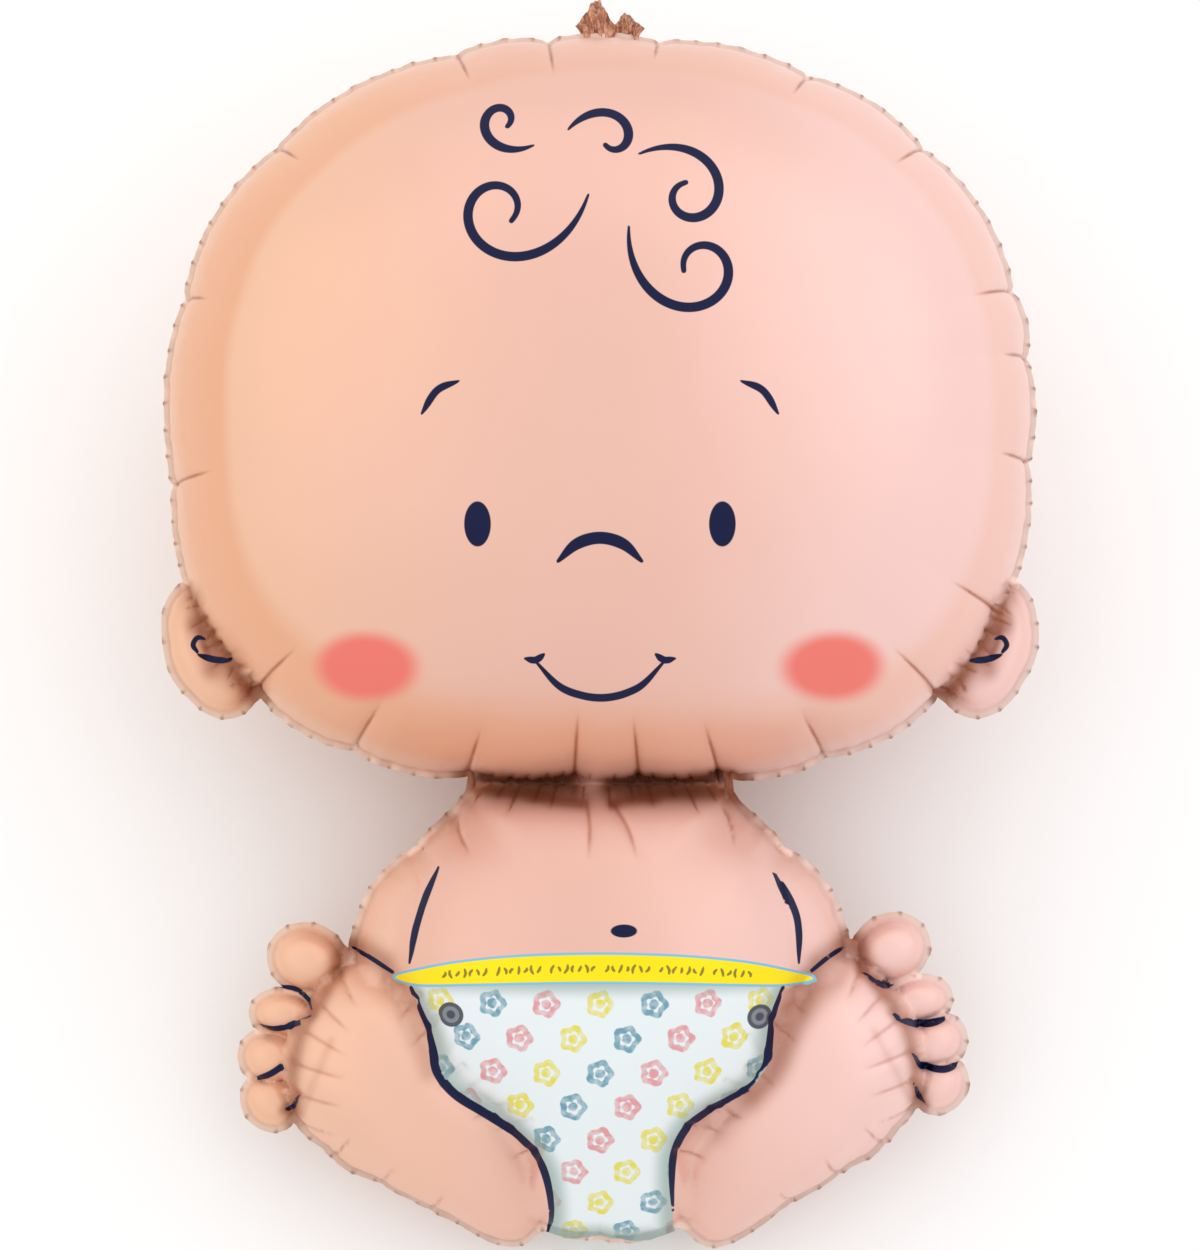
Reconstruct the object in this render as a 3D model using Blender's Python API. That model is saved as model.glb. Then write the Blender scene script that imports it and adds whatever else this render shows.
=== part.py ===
"""Foil balloon in the shape of a sitting baby, lying on its back: one sealed body made of puffed lobes.

Figure axes: u runs across the figure to the viewer's right, v runs up it from the heels, w comes out of its front.
Row axes: X is u, Y runs from the heels towards the crown, Z is up from the floor that the back lies on.
The body is the same puffed form front and back, with a flat seam all round where the two films are welded.
"""

import math
from dataclasses import dataclass

import bpy
import numpy as np

# Head
HEAD_WIDTH = 0.595
HEAD_HEIGHT = 0.514
HEAD_DEPTH = 0.340
CROWN_FULLNESS = 2.20
JAW_FULLNESS = 2.75
CHIN_HEIGHT = 0.3205

# Ears, placed on the rim of the head by their direction from its middle
EAR_LENGTH = 0.092
EAR_WIDTH = 0.060
EAR_DEPTH = 0.050
EAR_DROP_DEG = 31.5
EAR_LEAN_DEG = 19.0
EAR_STAND_OFF = 0.004
EAR_DISH = 0.35

# Arms, and the belly with the neck above it and the seat below it
ARM_SPAN = 0.342
ARM_LEVEL = 0.203
ARM_RISE = 0.104
ARM_FALL = 0.050
ARM_DEPTH = 0.116
ARM_FULLNESS = 2.0
NECK_OVERLAP = 0.036
BELLY_WIDTH = 0.284
BELLY_LEVEL = 0.190
BELLY_DEPTH = 0.176
SEAT_SHIFT = 0.008
END_NARROWING = 0.42

# Feet: length from heel to ball, and each heel's distance from the figure's middle and outward lean of its sole
LEFT_FOOT_LENGTH = 0.189
RIGHT_FOOT_LENGTH = 0.185
FOOT_DEPTH = 0.108
HEEL_HEIGHT = 0.0385
LEFT_HEEL_OFFSET = 0.072
RIGHT_HEEL_OFFSET = 0.088
LEFT_LEAN_DEG = 44.0
RIGHT_LEAN_DEG = 39.0
TOE_PLUMPNESS = 0.95

# Seam and tucks of the film
SEAM_WIDTH = 0.005
SEAM_ROOT_THICKNESS = 0.0024
SEAM_EDGE_THICKNESS = 0.0012
SEAM_THINNING = 0.025
HEAD_TUCK_DEPTH = 0.006
BODY_TUCK_DEPTH = 0.003
TUCK_REACH = 0.42

# Filling tail on the crown, a pleated strip of film
TAIL_WIDTH = 0.044
TAIL_HEIGHT = 0.021
TAIL_SHIFT = 0.007
TAIL_ROOT = 0.012
TAIL_THICKNESS = 0.0025
TAIL_PLEAT = 0.003

# How far the floor presses the back flat, and how deep the block is that stands for it
PRESS_DEPTH = 0.004
FLOOR_DEPTH = 0.020

# Height of an inflated disc of film over its own radius
MYLAR_RATIO = 0.59907
# How many waves around the turn the contours keep next to a lobe's middle
ROUNDING_WAVES = 2
# Share of an ear's radius that its hollow reaches
DISH_REACH = 0.45

SHARP_ANGLE_DEG = 50.0
SKIN_COLOUR = (0.895, 0.560, 0.435, 1.0)

# Directions of the tucks from each lobe's middle, in degrees anticlockwise from the viewer's right
HEAD_TUCKS_DEG = (7, 16, 39, 58, 81, 98, 112, 141, 165, 190, 219, 234, 250, 266, 276, 288, 303, 320, 333, 353)
ARM_TUCKS_DEG = (8, 35, 62, 90, 118, 145, 172, 215, 270, 325)
BELLY_TUCKS_DEG = (20, 64, 80, 95, 116, 160, 195, 228, 251, 270, 289, 312, 345)
FOOT_TUCKS_DEG = tuple(range(15, 375, 40))
EAR_TUCKS_DEG = tuple(range(30, 390, 72))
TOE_TUCKS_DEG = tuple(range(45, 405, 90))

# Belly outline: height as a share of the lobe's, half width as a share of the belly's
BELLY_PROFILE = (
    (0.985, 0.56), (0.87, 0.64), (0.77, 0.87), (0.64, 1.00), (0.50, 1.00), (0.39, 0.93),
    (0.30, 0.78), (0.235, 0.55), (0.15, 0.41), (0.055, 0.38),
)
# Middle of the sole's swell, then its outline, from the heel's middle, as shares of the foot's length: towards the
# toes, and to the outer side
SOLE_MIDDLE = (0.5, 0.02)
SOLE_OUTLINE = (
    (-0.20, 0.00), (-0.13, 0.12), (0.19, 0.226), (0.40, 0.310), (0.62, 0.345), (0.82, 0.29), (0.95, 0.14),
    (0.99, -0.02), (0.97, -0.18), (0.84, -0.31), (0.58, -0.31), (0.42, -0.25), (0.22, -0.25), (0.04, -0.27),
    (-0.12, -0.19),
)
# Toes from the big one out, as shares of the foot's length: place along and out, half length, half width; then
# how far each turns out from the sole's own direction, in degrees
TOES = (
    (1.085, -0.090, 0.126, 0.108, 26),
    (1.000, 0.110, 0.106, 0.072, 41),
    (0.920, 0.258, 0.098, 0.084, 24),
    (0.805, 0.368, 0.094, 0.082, 0),
)
# Pleats of the tail from the viewer's left: place across, front (1) or back (-1), height; shares of its sizes
TAIL_PLEATS = ((-1.0, -1, 0.50), (-0.62, 1, 0.95), (-0.12, 1, 1.00), (0.08, -1, 0.35), (0.45, 1, 0.58), (1.0, -1, 0.3))


@dataclass
class Lobe:
    """One puffed region: a closed rim in the u, v plane, its middle, and how far it swells to each side."""

    rim: np.ndarray
    middle: np.ndarray
    half_depth: float
    tucks_deg: tuple
    tuck_depth: float
    columns_between: tuple
    rings: tuple
    narrowing: float = 0.0
    dish: float = 0.0


def superellipse(middle, half_width, rise, fall, fullness_up, fullness_down, count=720):
    """Closed rim whose upper and lower halves have their own height and fullness."""
    turn = np.linspace(0, 2 * math.pi, count, endpoint=False)
    c, s = np.cos(turn), np.sin(turn)
    power = 2 / np.where(s >= 0, fullness_up, fullness_down)
    u = half_width * np.sign(c) * np.abs(c) ** power
    v = np.where(s >= 0, rise, fall) * np.sign(s) * np.abs(s) ** power
    return np.column_stack([middle[0] + u, middle[1] + v])


def ellipse(middle, half_long, half_wide, lean_deg, count=180):
    """Closed rim of an ellipse whose long axis leans from upright, to the viewer's right if positive."""
    turn = np.linspace(0, 2 * math.pi, count, endpoint=False)
    lean = math.radians(lean_deg)
    along, across = half_long * np.sin(turn), half_wide * np.cos(turn)
    u = middle[0] + across * math.cos(lean) + along * math.sin(lean)
    v = middle[1] - across * math.sin(lean) + along * math.cos(lean)
    return np.column_stack([u, v])


def smooth_loop(points, per_span=24):
    """Closed anticlockwise Catmull-Rom curve through the given points."""
    p = np.asarray(points, float)
    a, b, c, d = (np.roll(p, k, axis=0)[:, None, :] for k in (1, 0, -1, -2))
    t = np.linspace(0, 1, per_span, endpoint=False)[None, :, None]
    curve = 0.5 * (2 * b + (c - a) * t + (2 * a - 5 * b + 4 * c - d) * t**2 + (3 * b - a - 3 * c + d) * t**3)
    loop = curve.reshape(-1, 2)
    after = np.roll(loop, -1, axis=0)
    area = np.sum(loop[:, 0] * after[:, 1] - loop[:, 1] * after[:, 0])
    return loop if area > 0 else loop[::-1]


def mylar_height(share):
    """Height of an inflated disc at a share of its radius, as a share of the height at its middle.

    The film's slope at a share t is t^2 / sqrt(1 - t^4). With t = 1 - q^2 the climb inwards from the rim is
    smooth in q, so it is summed over even steps of q.
    """
    q = np.linspace(0, 1, 2001)
    t = 1 - q**2
    rate = np.where(q > 0, t**2 * 2 * q / np.sqrt(np.maximum(1 - t**4, 1e-12)), 1.0)
    climbed = np.concatenate([[0], np.cumsum((rate[1:] + rate[:-1]) / 2)])
    return np.interp(np.sqrt(1 - np.asarray(share)), q, climbed / climbed[-1])


def lengths_along(rim):
    """Distance along a closed rim to each of its points, ending with its whole length."""
    closed = np.vstack([rim, rim[:1]])
    return closed, np.concatenate([[0], np.cumsum(np.linalg.norm(np.diff(closed, axis=0), axis=1))])


def walk(rim, fractions):
    """Points of a closed rim at fractions of its length."""
    closed, length = lengths_along(rim)
    at = np.asarray(fractions) % 1.0 * length[-1]
    return np.column_stack([np.interp(at, length, closed[:, k]) for k in (0, 1)])


def tuck_fractions(lobe):
    """Fractions of a lobe's rim at which its tucks lie, in order."""
    _, length = lengths_along(lobe.rim)
    offset = lobe.rim - lobe.middle
    turned = np.unwrap(np.arctan2(offset[:, 1], offset[:, 0]))
    wanted = (np.radians(lobe.tucks_deg) - turned[0]) % (2 * math.pi) + turned[0]
    return np.sort(np.interp(wanted, turned, length[:-1] / length[-1]))


def columns(lobe):
    """Fractions of the rim at which the mesh has a column, and how strongly each is pinched by a tuck."""
    tucks = tuck_fractions(lobe)
    gaps = np.diff(np.append(tucks, tucks[0] + 1))
    share = np.array(lobe.columns_between)
    fractions = (tucks[:, None] + gaps[:, None] * share[None, :]).ravel()
    pinch = np.tile((1 - 2 * share) ** 2, len(tucks))
    return fractions % 1.0, pinch


def rounded_reach(lobe, directions):
    """Distance from a lobe's middle to its rim with the rim's corners rounded off, in the given directions.

    The rim's radius is kept as its mean and its first two waves around the turn.
    """
    offset = lobe.rim - lobe.middle
    turned = np.unwrap(np.arctan2(offset[:, 1], offset[:, 0]))
    even = np.linspace(0, 2 * math.pi, 360, endpoint=False)
    radius = np.interp(even, turned % (2 * math.pi), np.linalg.norm(offset, axis=1), period=2 * math.pi)
    waves = np.fft.rfft(radius)
    waves[round(ROUNDING_WAVES) + 1:] = 0
    return np.interp(directions, even, np.fft.irfft(waves, len(even)), period=2 * math.pi)


def lobe_rings(lobe, seam_share):
    """Points of a lobe as an array of rings by columns, from next to its front pole to next to its back pole.

    A ring is the rim drawn in towards the middle by a share, and rounder the further in it lies, at the height
    of an inflated film there. Narrowing flattens the lobe towards its upper and lower ends, and dish hollows its
    middle. A tuck pulls the film in along its own normal, most at the rim. The seam stands out from the rim as
    a thin wedge, at a share of its full thickness.
    """
    fractions, pinch = columns(lobe)
    rim = walk(lobe.rim, fractions)
    along = walk(lobe.rim, fractions + 1e-3) - walk(lobe.rim, fractions - 1e-3)
    outward = np.column_stack([along[:, 1], -along[:, 0]])
    outward /= np.linalg.norm(outward, axis=1)[:, None]
    spoke = rim - lobe.middle
    reach = np.linalg.norm(spoke, axis=1)
    rounded = rounded_reach(lobe, np.arctan2(spoke[:, 1], spoke[:, 0]))
    least = seam_share * SEAM_ROOT_THICKNESS / 2
    front = []
    for share in lobe.rings:
        drawn_in = share * (share**2 + (1 - share**2) * rounded / reach)
        rise = drawn_in * spoke[:, 1] / np.where(spoke[:, 1] > 0, spoke[:, 1].max(), -spoke[:, 1].min())
        swell = 1 - lobe.narrowing * rise**2
        hollow = 1 - lobe.dish * math.exp(-((share / DISH_REACH) ** 2))
        height = lobe.half_depth * mylar_height(share) * swell * hollow
        steep = share**2 / math.sqrt(max(1 - share**4, 1e-4)) * lobe.half_depth / (MYLAR_RATIO * reach)
        lift = 1 / np.sqrt(1 + steep**2)
        pull = lobe.tuck_depth * pinch * max(0.0, 1 - (1 - share) / TUCK_REACH) ** 2
        plan = lobe.middle + spoke * (drawn_in - pull * steep * lift / reach)[:, None]
        front.append(np.column_stack([plan, np.maximum(height - pull * lift, least)]))
    edge = front[-1][:, :2] + outward * SEAM_WIDTH
    front.append(np.column_stack([edge, np.full(len(edge), seam_share * SEAM_EDGE_THICKNESS / 2)]))
    back = [ring * (1, 1, -1) for ring in reversed(front)]
    return np.array(front + back)


def lobe_geometry(lobe, number=0):
    """Points in figure axes and faces of one closed lobe: rings joined by quads, and a fan at each pole.

    Each lobe's seam is a little thinner than the one before it, so that two seams cross and never coincide.
    """
    rings = lobe_rings(lobe, 1 - SEAM_THINNING * number)
    ring_count, column_count = rings.shape[:2]
    pole_height = lobe.half_depth * (1 - lobe.dish)
    poles = [[*lobe.middle, pole_height], [*lobe.middle, -pole_height]]
    points = np.vstack([rings.reshape(-1, 3), poles])
    here = np.arange(column_count)
    after = (here + 1) % column_count
    faces = []
    for ring in range(ring_count - 1):
        low, high = ring * column_count, (ring + 1) * column_count
        faces += np.column_stack([low + here, high + here, high + after, low + after]).tolist()
    front_pole, back_pole = len(points) - 2, len(points) - 1
    last = (ring_count - 1) * column_count
    faces += [[front_pole, int(a), int(b)] for a, b in zip(here, after)]
    faces += [[back_pole, int(last + b), int(last + a)] for a, b in zip(here, after)]
    return points, faces


def head_middle():
    """Middle of the head, in u and v."""
    return np.array([0.0, CHIN_HEIGHT + HEAD_HEIGHT / 2])


def head_lobe():
    """The head, a wide puffed disc with a fuller jaw."""
    middle = head_middle()
    half = HEAD_HEIGHT / 2
    rim = superellipse(middle, HEAD_WIDTH / 2, half, half, CROWN_FULLNESS, JAW_FULLNESS)
    return Lobe(rim, middle, HEAD_DEPTH / 2, HEAD_TUCKS_DEG, HEAD_TUCK_DEPTH,
                (0, 0.12, 0.37, 0.63, 0.88), (0.24, 0.46, 0.67, 0.83, 0.93, 0.985, 1.0))


def ear_lobe(side):
    """An ear, centred near the head's rim: side is -1 on the viewer's left and 1 on the right."""
    middle = head_middle()
    spokes = head_lobe().rim - middle
    turn = math.radians(-EAR_DROP_DEG)
    direction = np.array([side * math.cos(turn), math.sin(turn)])
    facing = spokes @ direction
    reach = facing[np.argmax(facing / np.linalg.norm(spokes, axis=1))]
    place = middle + direction * (reach + EAR_STAND_OFF)
    rim = ellipse(place, EAR_LENGTH / 2, EAR_WIDTH / 2, side * EAR_LEAN_DEG)
    return Lobe(rim, place, EAR_DEPTH / 2, EAR_TUCKS_DEG, BODY_TUCK_DEPTH / 2,
                (0, 0.25, 0.5, 0.75), (0.45, 0.74, 0.93, 1.0), dish=EAR_DISH)


def arms_lobe():
    """Shoulders and arms, a wide lobe whose lower edge the feet hide."""
    middle = np.array([0.0, ARM_LEVEL])
    rim = superellipse(middle, ARM_SPAN / 2, ARM_RISE, ARM_FALL, ARM_FULLNESS, ARM_FULLNESS)
    return Lobe(rim, middle, ARM_DEPTH / 2, ARM_TUCKS_DEG, BODY_TUCK_DEPTH,
                (0, 0.2, 0.5, 0.8), (0.5, 0.78, 0.93, 1.0))


def belly_lobe():
    """Neck, belly and seat in one lobe, widest at the waist; its neck end stays inside the head."""
    height = CHIN_HEIGHT + NECK_OVERLAP
    right, left = [], []
    for level, width in BELLY_PROFILE:
        v = level * height
        shift = SEAT_SHIFT * max(0.0, 1 - v / BELLY_LEVEL)
        right.append((shift + width * BELLY_WIDTH / 2, v))
        left.append((shift - width * BELLY_WIDTH / 2, v))
    rim = smooth_loop([(0.0, height)] + left + [(SEAT_SHIFT, SEAM_WIDTH)] + right[::-1])
    return Lobe(rim, np.array([0.0, BELLY_LEVEL]), BELLY_DEPTH / 2, BELLY_TUCKS_DEG, BODY_TUCK_DEPTH,
                (0, 0.24, 0.5, 0.76), (0.3, 0.55, 0.76, 0.9, 0.975, 1.0), narrowing=END_NARROWING)


@dataclass
class FootPlace:
    """Where a foot lies: which side it is on, its length, its heel's offset from the middle, and its lean."""

    side: int
    length: float
    heel_offset: float
    lean_deg: float

    def at(self, along, out):
        """The u, v point at shares of the foot's length along the sole and out to its outer side."""
        lean = math.radians(self.lean_deg)
        heel = np.array([self.side * self.heel_offset, HEEL_HEIGHT])
        forward = np.array([self.side * math.sin(lean), math.cos(lean)])
        outward = np.array([self.side * math.cos(lean), -math.sin(lean)])
        return heel + self.length * (along * forward + out * outward)


LEFT_FOOT = FootPlace(-1, LEFT_FOOT_LENGTH, LEFT_HEEL_OFFSET, LEFT_LEAN_DEG)
RIGHT_FOOT = FootPlace(1, RIGHT_FOOT_LENGTH, RIGHT_HEEL_OFFSET, RIGHT_LEAN_DEG)


def foot_lobe(foot):
    """The sole of a foot, from heel to ball."""
    rim = smooth_loop([foot.at(along, out) for along, out in SOLE_OUTLINE])
    return Lobe(rim, foot.at(*SOLE_MIDDLE), FOOT_DEPTH / 2, FOOT_TUCKS_DEG, BODY_TUCK_DEPTH,
                (0, 0.25, 0.5, 0.75), (0.4, 0.7, 0.9, 1.0))


def toe_lobes(foot):
    """The toes of a foot, each a small round puff on the ball's edge."""
    toes = []
    for place_along, place_out, half_long, half_wide, turn_deg in TOES:
        middle = foot.at(place_along, place_out)
        long, wide = half_long * foot.length, half_wide * foot.length
        rim = ellipse(middle, long, wide, foot.side * (foot.lean_deg + turn_deg))
        toes.append(Lobe(rim, middle, TOE_PLUMPNESS * min(long, wide), TOE_TUCKS_DEG, 0.0,
                         (0, 0.33, 0.67), (0.55, 0.86, 1.0)))
    return toes


def tail_geometry():
    """The pleated strip at the crown, its lower end inside the head: four points for each pleat."""
    root = CHIN_HEIGHT + HEAD_HEIGHT - TAIL_ROOT
    points = []
    for across, side, height in TAIL_PLEATS:
        u = TAIL_SHIFT + across * TAIL_WIDTH / 2
        top = CHIN_HEIGHT + HEAD_HEIGHT + SEAM_WIDTH + height * TAIL_HEIGHT
        front, back = side * TAIL_PLEAT / 2 + TAIL_THICKNESS / 2, side * TAIL_PLEAT / 2 - TAIL_THICKNESS / 2
        points += [(u, root, front), (u, top, front), (u, top, back), (u, root, back)]
    last = 4 * (len(TAIL_PLEATS) - 1)
    faces = [[3, 2, 1, 0], [last, last + 1, last + 2, last + 3]]
    for k in range(0, last, 4):
        faces += [[k + a, k + b, k + 4 + b, k + 4 + a] for a, b in ((0, 1), (1, 2), (2, 3), (3, 0))]
    return np.array(points), faces


def lying_axes(head_points, belly_points):
    """The v and w directions in row axes when the backs of head and belly both touch the floor."""
    low, high = 0.0, math.radians(45)
    for _ in range(50):
        tilt = (low + high) / 2
        lowest_head = np.min(head_points[:, 1] * math.sin(tilt) + head_points[:, 2] * math.cos(tilt))
        lowest_belly = np.min(belly_points[:, 1] * math.sin(tilt) + belly_points[:, 2] * math.cos(tilt))
        low, high = (tilt, high) if lowest_head < lowest_belly else (low, tilt)
    up_figure = np.array([0.0, math.cos(tilt), math.sin(tilt)])
    out_of_front = np.array([0.0, -math.sin(tilt), math.cos(tilt)])
    return up_figure, out_of_front


def make_object(name, points, faces, collection):
    """A smooth-shaded mesh object from points in row axes."""
    mesh = bpy.data.meshes.new(name)
    mesh.from_pydata(points.tolist(), [], faces)
    mesh.shade_smooth()
    mesh.set_sharp_from_angle(angle=math.radians(SHARP_ANGLE_DEG))
    obj = bpy.data.objects.new(name, mesh)
    collection.objects.link(obj)
    return obj


def hide_as_guide(obj):
    """Leave an object out of the finished model, as a shape that another one is cut or joined with."""
    obj.hide_render = True
    obj.display_type = "WIRE"


def floor_block(size, depth):
    """Points and faces of a block under the floor plane, which presses the back flat."""
    half = size / 2
    corners = np.array([(x, y, z) for z in (-depth, 0) for y in (-half, half) for x in (-half, half)])
    faces = [[0, 2, 3, 1], [4, 5, 7, 6], [0, 1, 5, 4], [2, 6, 7, 3], [0, 4, 6, 2], [1, 3, 7, 5]]
    return corners, faces


def foil_material():
    """Skin-coloured metallised film with a satin face."""
    material = bpy.data.materials.new("printed_foil")
    material.use_nodes = True
    shader = material.node_tree.nodes["Principled BSDF"]
    shader.inputs["Base Color"].default_value = SKIN_COLOUR
    shader.inputs["Roughness"].default_value = 0.38
    shader.inputs["Metallic"].default_value = 0.25
    return material


def add_boolean(obj, name, operation, **operand):
    """Add an exact Boolean modifier whose operand is an object or a collection."""
    modifier = obj.modifiers.new(name, "BOOLEAN")
    modifier.solver = "EXACT"
    modifier.operation = operation
    for key, value in operand.items():
        setattr(modifier, key, value)


def main():
    """Build the balloon in row axes, with its origin under the middle of its box on the floor."""
    for old in list(bpy.data.objects):
        bpy.data.objects.remove(old)
    scene_collection = bpy.context.scene.collection
    lobes_collection = bpy.data.collections.new("lobes")
    scene_collection.children.link(lobes_collection)

    head, belly = lobe_geometry(head_lobe()), lobe_geometry(belly_lobe(), 1)
    others = [ear_lobe(-1), ear_lobe(1), arms_lobe()]
    for foot in (LEFT_FOOT, RIGHT_FOOT):
        others += [foot_lobe(foot), *toe_lobes(foot)]
    shapes = [head, belly, *(lobe_geometry(lobe, number) for number, lobe in enumerate(others, 2)), tail_geometry()]
    up_figure, out_of_front = lying_axes(head[0], belly[0])
    axes = np.array([(1.0, 0.0, 0.0), up_figure, out_of_front])
    placed = [(points @ axes, faces) for points, faces in shapes]
    everything = np.vstack([points for points, _ in placed])
    low, high = everything.min(axis=0), everything.max(axis=0)
    origin = np.array([(low[0] + high[0]) / 2, (low[1] + high[1]) / 2, low[2] + PRESS_DEPTH])

    balloon = make_object("balloon", placed[0][0] - origin, placed[0][1], scene_collection)
    balloon.data.materials.append(foil_material())
    for number, (points, faces) in enumerate(placed[1:], 1):
        hide_as_guide(make_object(f"lobe_{number}", points - origin, faces, lobes_collection))
    floor = make_object("floor", *floor_block(2 * max(high - low), FLOOR_DEPTH), scene_collection)
    hide_as_guide(floor)
    add_boolean(balloon, "join_lobes", "UNION", operand_type="COLLECTION", collection=lobes_collection)
    add_boolean(balloon, "press_back_flat", "DIFFERENCE", object=floor)


if __name__ == "__main__":
    main()
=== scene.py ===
"""Foil figure balloon of a sitting baby, lying on its back on a pale studio floor.

Figure axes: u runs to the viewer's right, v runs up the figure from its heels, w comes out of its front.
Row axes: X is u, Y runs from the heels towards the crown, Z is up from the floor.
The film is one closed sheet: a front and a back film over the same outline, and the edge of the seam
between them.
"""

import logging
import math
from dataclasses import dataclass, field
from enum import Enum

import bpy
import numpy as np
from mathutils import Matrix, Vector
from mathutils.geometry import delaunay_2d_cdt


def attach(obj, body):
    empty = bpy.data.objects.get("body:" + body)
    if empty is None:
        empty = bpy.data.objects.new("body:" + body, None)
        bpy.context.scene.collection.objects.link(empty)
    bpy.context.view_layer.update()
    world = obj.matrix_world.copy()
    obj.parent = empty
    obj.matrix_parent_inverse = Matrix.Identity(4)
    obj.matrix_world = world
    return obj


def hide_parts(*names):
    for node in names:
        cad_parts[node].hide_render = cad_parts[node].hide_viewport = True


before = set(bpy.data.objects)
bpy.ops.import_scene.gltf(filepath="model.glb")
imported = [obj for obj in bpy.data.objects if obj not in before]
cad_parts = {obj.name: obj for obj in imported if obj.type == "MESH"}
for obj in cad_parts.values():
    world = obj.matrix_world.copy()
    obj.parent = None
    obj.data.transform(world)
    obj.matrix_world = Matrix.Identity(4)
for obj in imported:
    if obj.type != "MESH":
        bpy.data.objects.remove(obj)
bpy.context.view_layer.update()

LOG = logging.getLogger("balloon")
Array = np.ndarray
MM = 0.001

# Height of an inflated disc of film over its own radius
MYLAR_RATIO = 0.59907

# Steps round a rim, round an ellipse and along the film's profile, and how often an interval is halved
RIM_STEPS = 1440
ELLIPSE_STEPS = 720
PROFILE_STEPS = 2001
HALVINGS = 26


class Side(Enum):
    """Which side of the figure a limb is on, as the viewer sees it."""

    LEFT = -1
    RIGHT = 1


class Film(Enum):
    """Which of the two films of the balloon."""

    FRONT = 1
    BACK = -1


# Small helpers for colour, curves and nodes


def linear(code: str) -> tuple[float, float, float, float]:
    """Turn an sRGB hex colour to linear light.

    Args:
        code: colour as #RRGGBB.

    Returns:
        Linear red, green, blue and an alpha of one.
    """
    parts = [int(code[k:k + 2], 16) / 255 for k in (1, 3, 5)]
    lit = [c / 12.92 if c <= 0.04045 else ((c + 0.055) / 1.055) ** 2.4 for c in parts]
    return (lit[0], lit[1], lit[2], 1.0)


def add_node(tree: bpy.types.NodeTree, kind: str, inputs: dict | None = None, **settings) -> bpy.types.Node:
    """Add a node, set its settings, and set or link its inputs.

    Args:
        tree: node tree that gets the node.
        kind: type name of the node.
        inputs: socket name or number, with a value or another node's output socket.
        settings: properties of the node itself.

    Returns:
        The new node.
    """
    node = tree.nodes.new(kind)
    for name, value in settings.items():
        setattr(node, name, value)
    for key, value in (inputs or {}).items():
        if isinstance(value, bpy.types.NodeSocket):
            tree.links.new(value, node.inputs[key])
        else:
            node.inputs[key].default_value = value
    return node


def smooth_curve(points: Array, closed: bool, per_span: int = 14) -> Array:
    """Catmull-Rom curve through points: each span is the cubic whose end slopes join the neighbouring points.

    Args:
        points: corners, n by 2.
        closed: whether the last point joins the first.
        per_span: number of steps between two corners.

    Returns:
        Points along the curve, without the repeated first one where it is closed.
    """
    p = np.asarray(points, float)
    if not closed:
        p = np.vstack([2 * p[0] - p[1], p, 2 * p[-1] - p[-2]])
    a, b, c, d = (np.roll(p, k, axis=0)[:, None, :] for k in (1, 0, -1, -2))
    t = np.linspace(0, 1, per_span, endpoint=False)[None, :, None]
    curve = 0.5 * (2 * b + (c - a) * t + (2 * a - 5 * b + 4 * c - d) * t**2 + (3 * b - a - 3 * c + d) * t**3)
    if closed:
        loop = curve.reshape(-1, 2)
        after = np.roll(loop, -1, axis=0)
        area = np.sum(loop[:, 0] * after[:, 1] - loop[:, 1] * after[:, 0])
        return loop if area > 0 else loop[::-1]
    return np.vstack([curve[1:-2].reshape(-1, 2), p[-2]])


def nearest_on_path(points: Array, path: Array) -> tuple[Array, Array]:
    """Distance from points to a path: the least distance to any of its straight runs.

    Args:
        points: n by 2.
        path: corners of the path, m by 2.

    Returns:
        Distance of each point, and the share of the path's length at its nearest place.
    """
    start, run = path[:-1], np.diff(path, axis=0)
    length = np.maximum(np.linalg.norm(run, axis=1), 1e-9)
    before = np.concatenate([[0], np.cumsum(length)])
    gap = points[:, None, :] - start[None]
    t = np.clip((gap * run).sum(axis=2) / length**2, 0, 1)
    away = np.linalg.norm(gap - t[:, :, None] * run, axis=2)
    k = away.argmin(axis=1)
    rows = np.arange(len(points))
    return away[rows, k], (before[k] + t[rows, k] * length[k]) / before[-1]


def inside_loop(points: Array, loop: Array) -> Array:
    """Whether points lie in a closed loop: a ray to the right crosses its sides an odd number of times.

    Args:
        points: n by 2.
        loop: corners, m by 2.

    Returns:
        One truth value for each point.
    """
    a, b = loop, np.roll(loop, -1, axis=0)
    u, v = points[:, 0][:, None], points[:, 1][:, None]
    spans = (a[:, 1] > v) != (b[:, 1] > v)
    rise = np.where(b[:, 1] == a[:, 1], 1e-12, b[:, 1] - a[:, 1])
    crossing = a[:, 0] + (v - a[:, 1]) / rise * (b[:, 0] - a[:, 0])
    return (spans & (u < crossing)).sum(axis=1) % 2 == 1


# What is drawn on the film, and the painted shade in its folds and valleys


@dataclass
class Stroke:
    """A drawn line: its path in u and v, its width where it is thickest, and its ends as shares of that.

    Over a share of its length at each end the width changes as a quarter of a sine wave.
    """

    path: Array
    width: float
    start_share: float = 0.3
    end_share: float = 0.3
    taper: float = 0.35

    def field(self, points: Array) -> Array:
        """Distance from the stroke's edge, negative in the ink.

        Args:
            points: n by 2, in u and v.

        Returns:
            Distance for each point, in metres.
        """
        away, t = nearest_on_path(points, self.path)
        grow = np.sin(np.minimum(t / self.taper, 1) * math.pi / 2)
        fall = np.sin(np.minimum((1 - t) / self.taper, 1) * math.pi / 2)
        first = self.start_share + (1 - self.start_share) * grow
        last = self.end_share + (1 - self.end_share) * fall
        return away - self.width / 2 * np.minimum(first, last)


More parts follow.
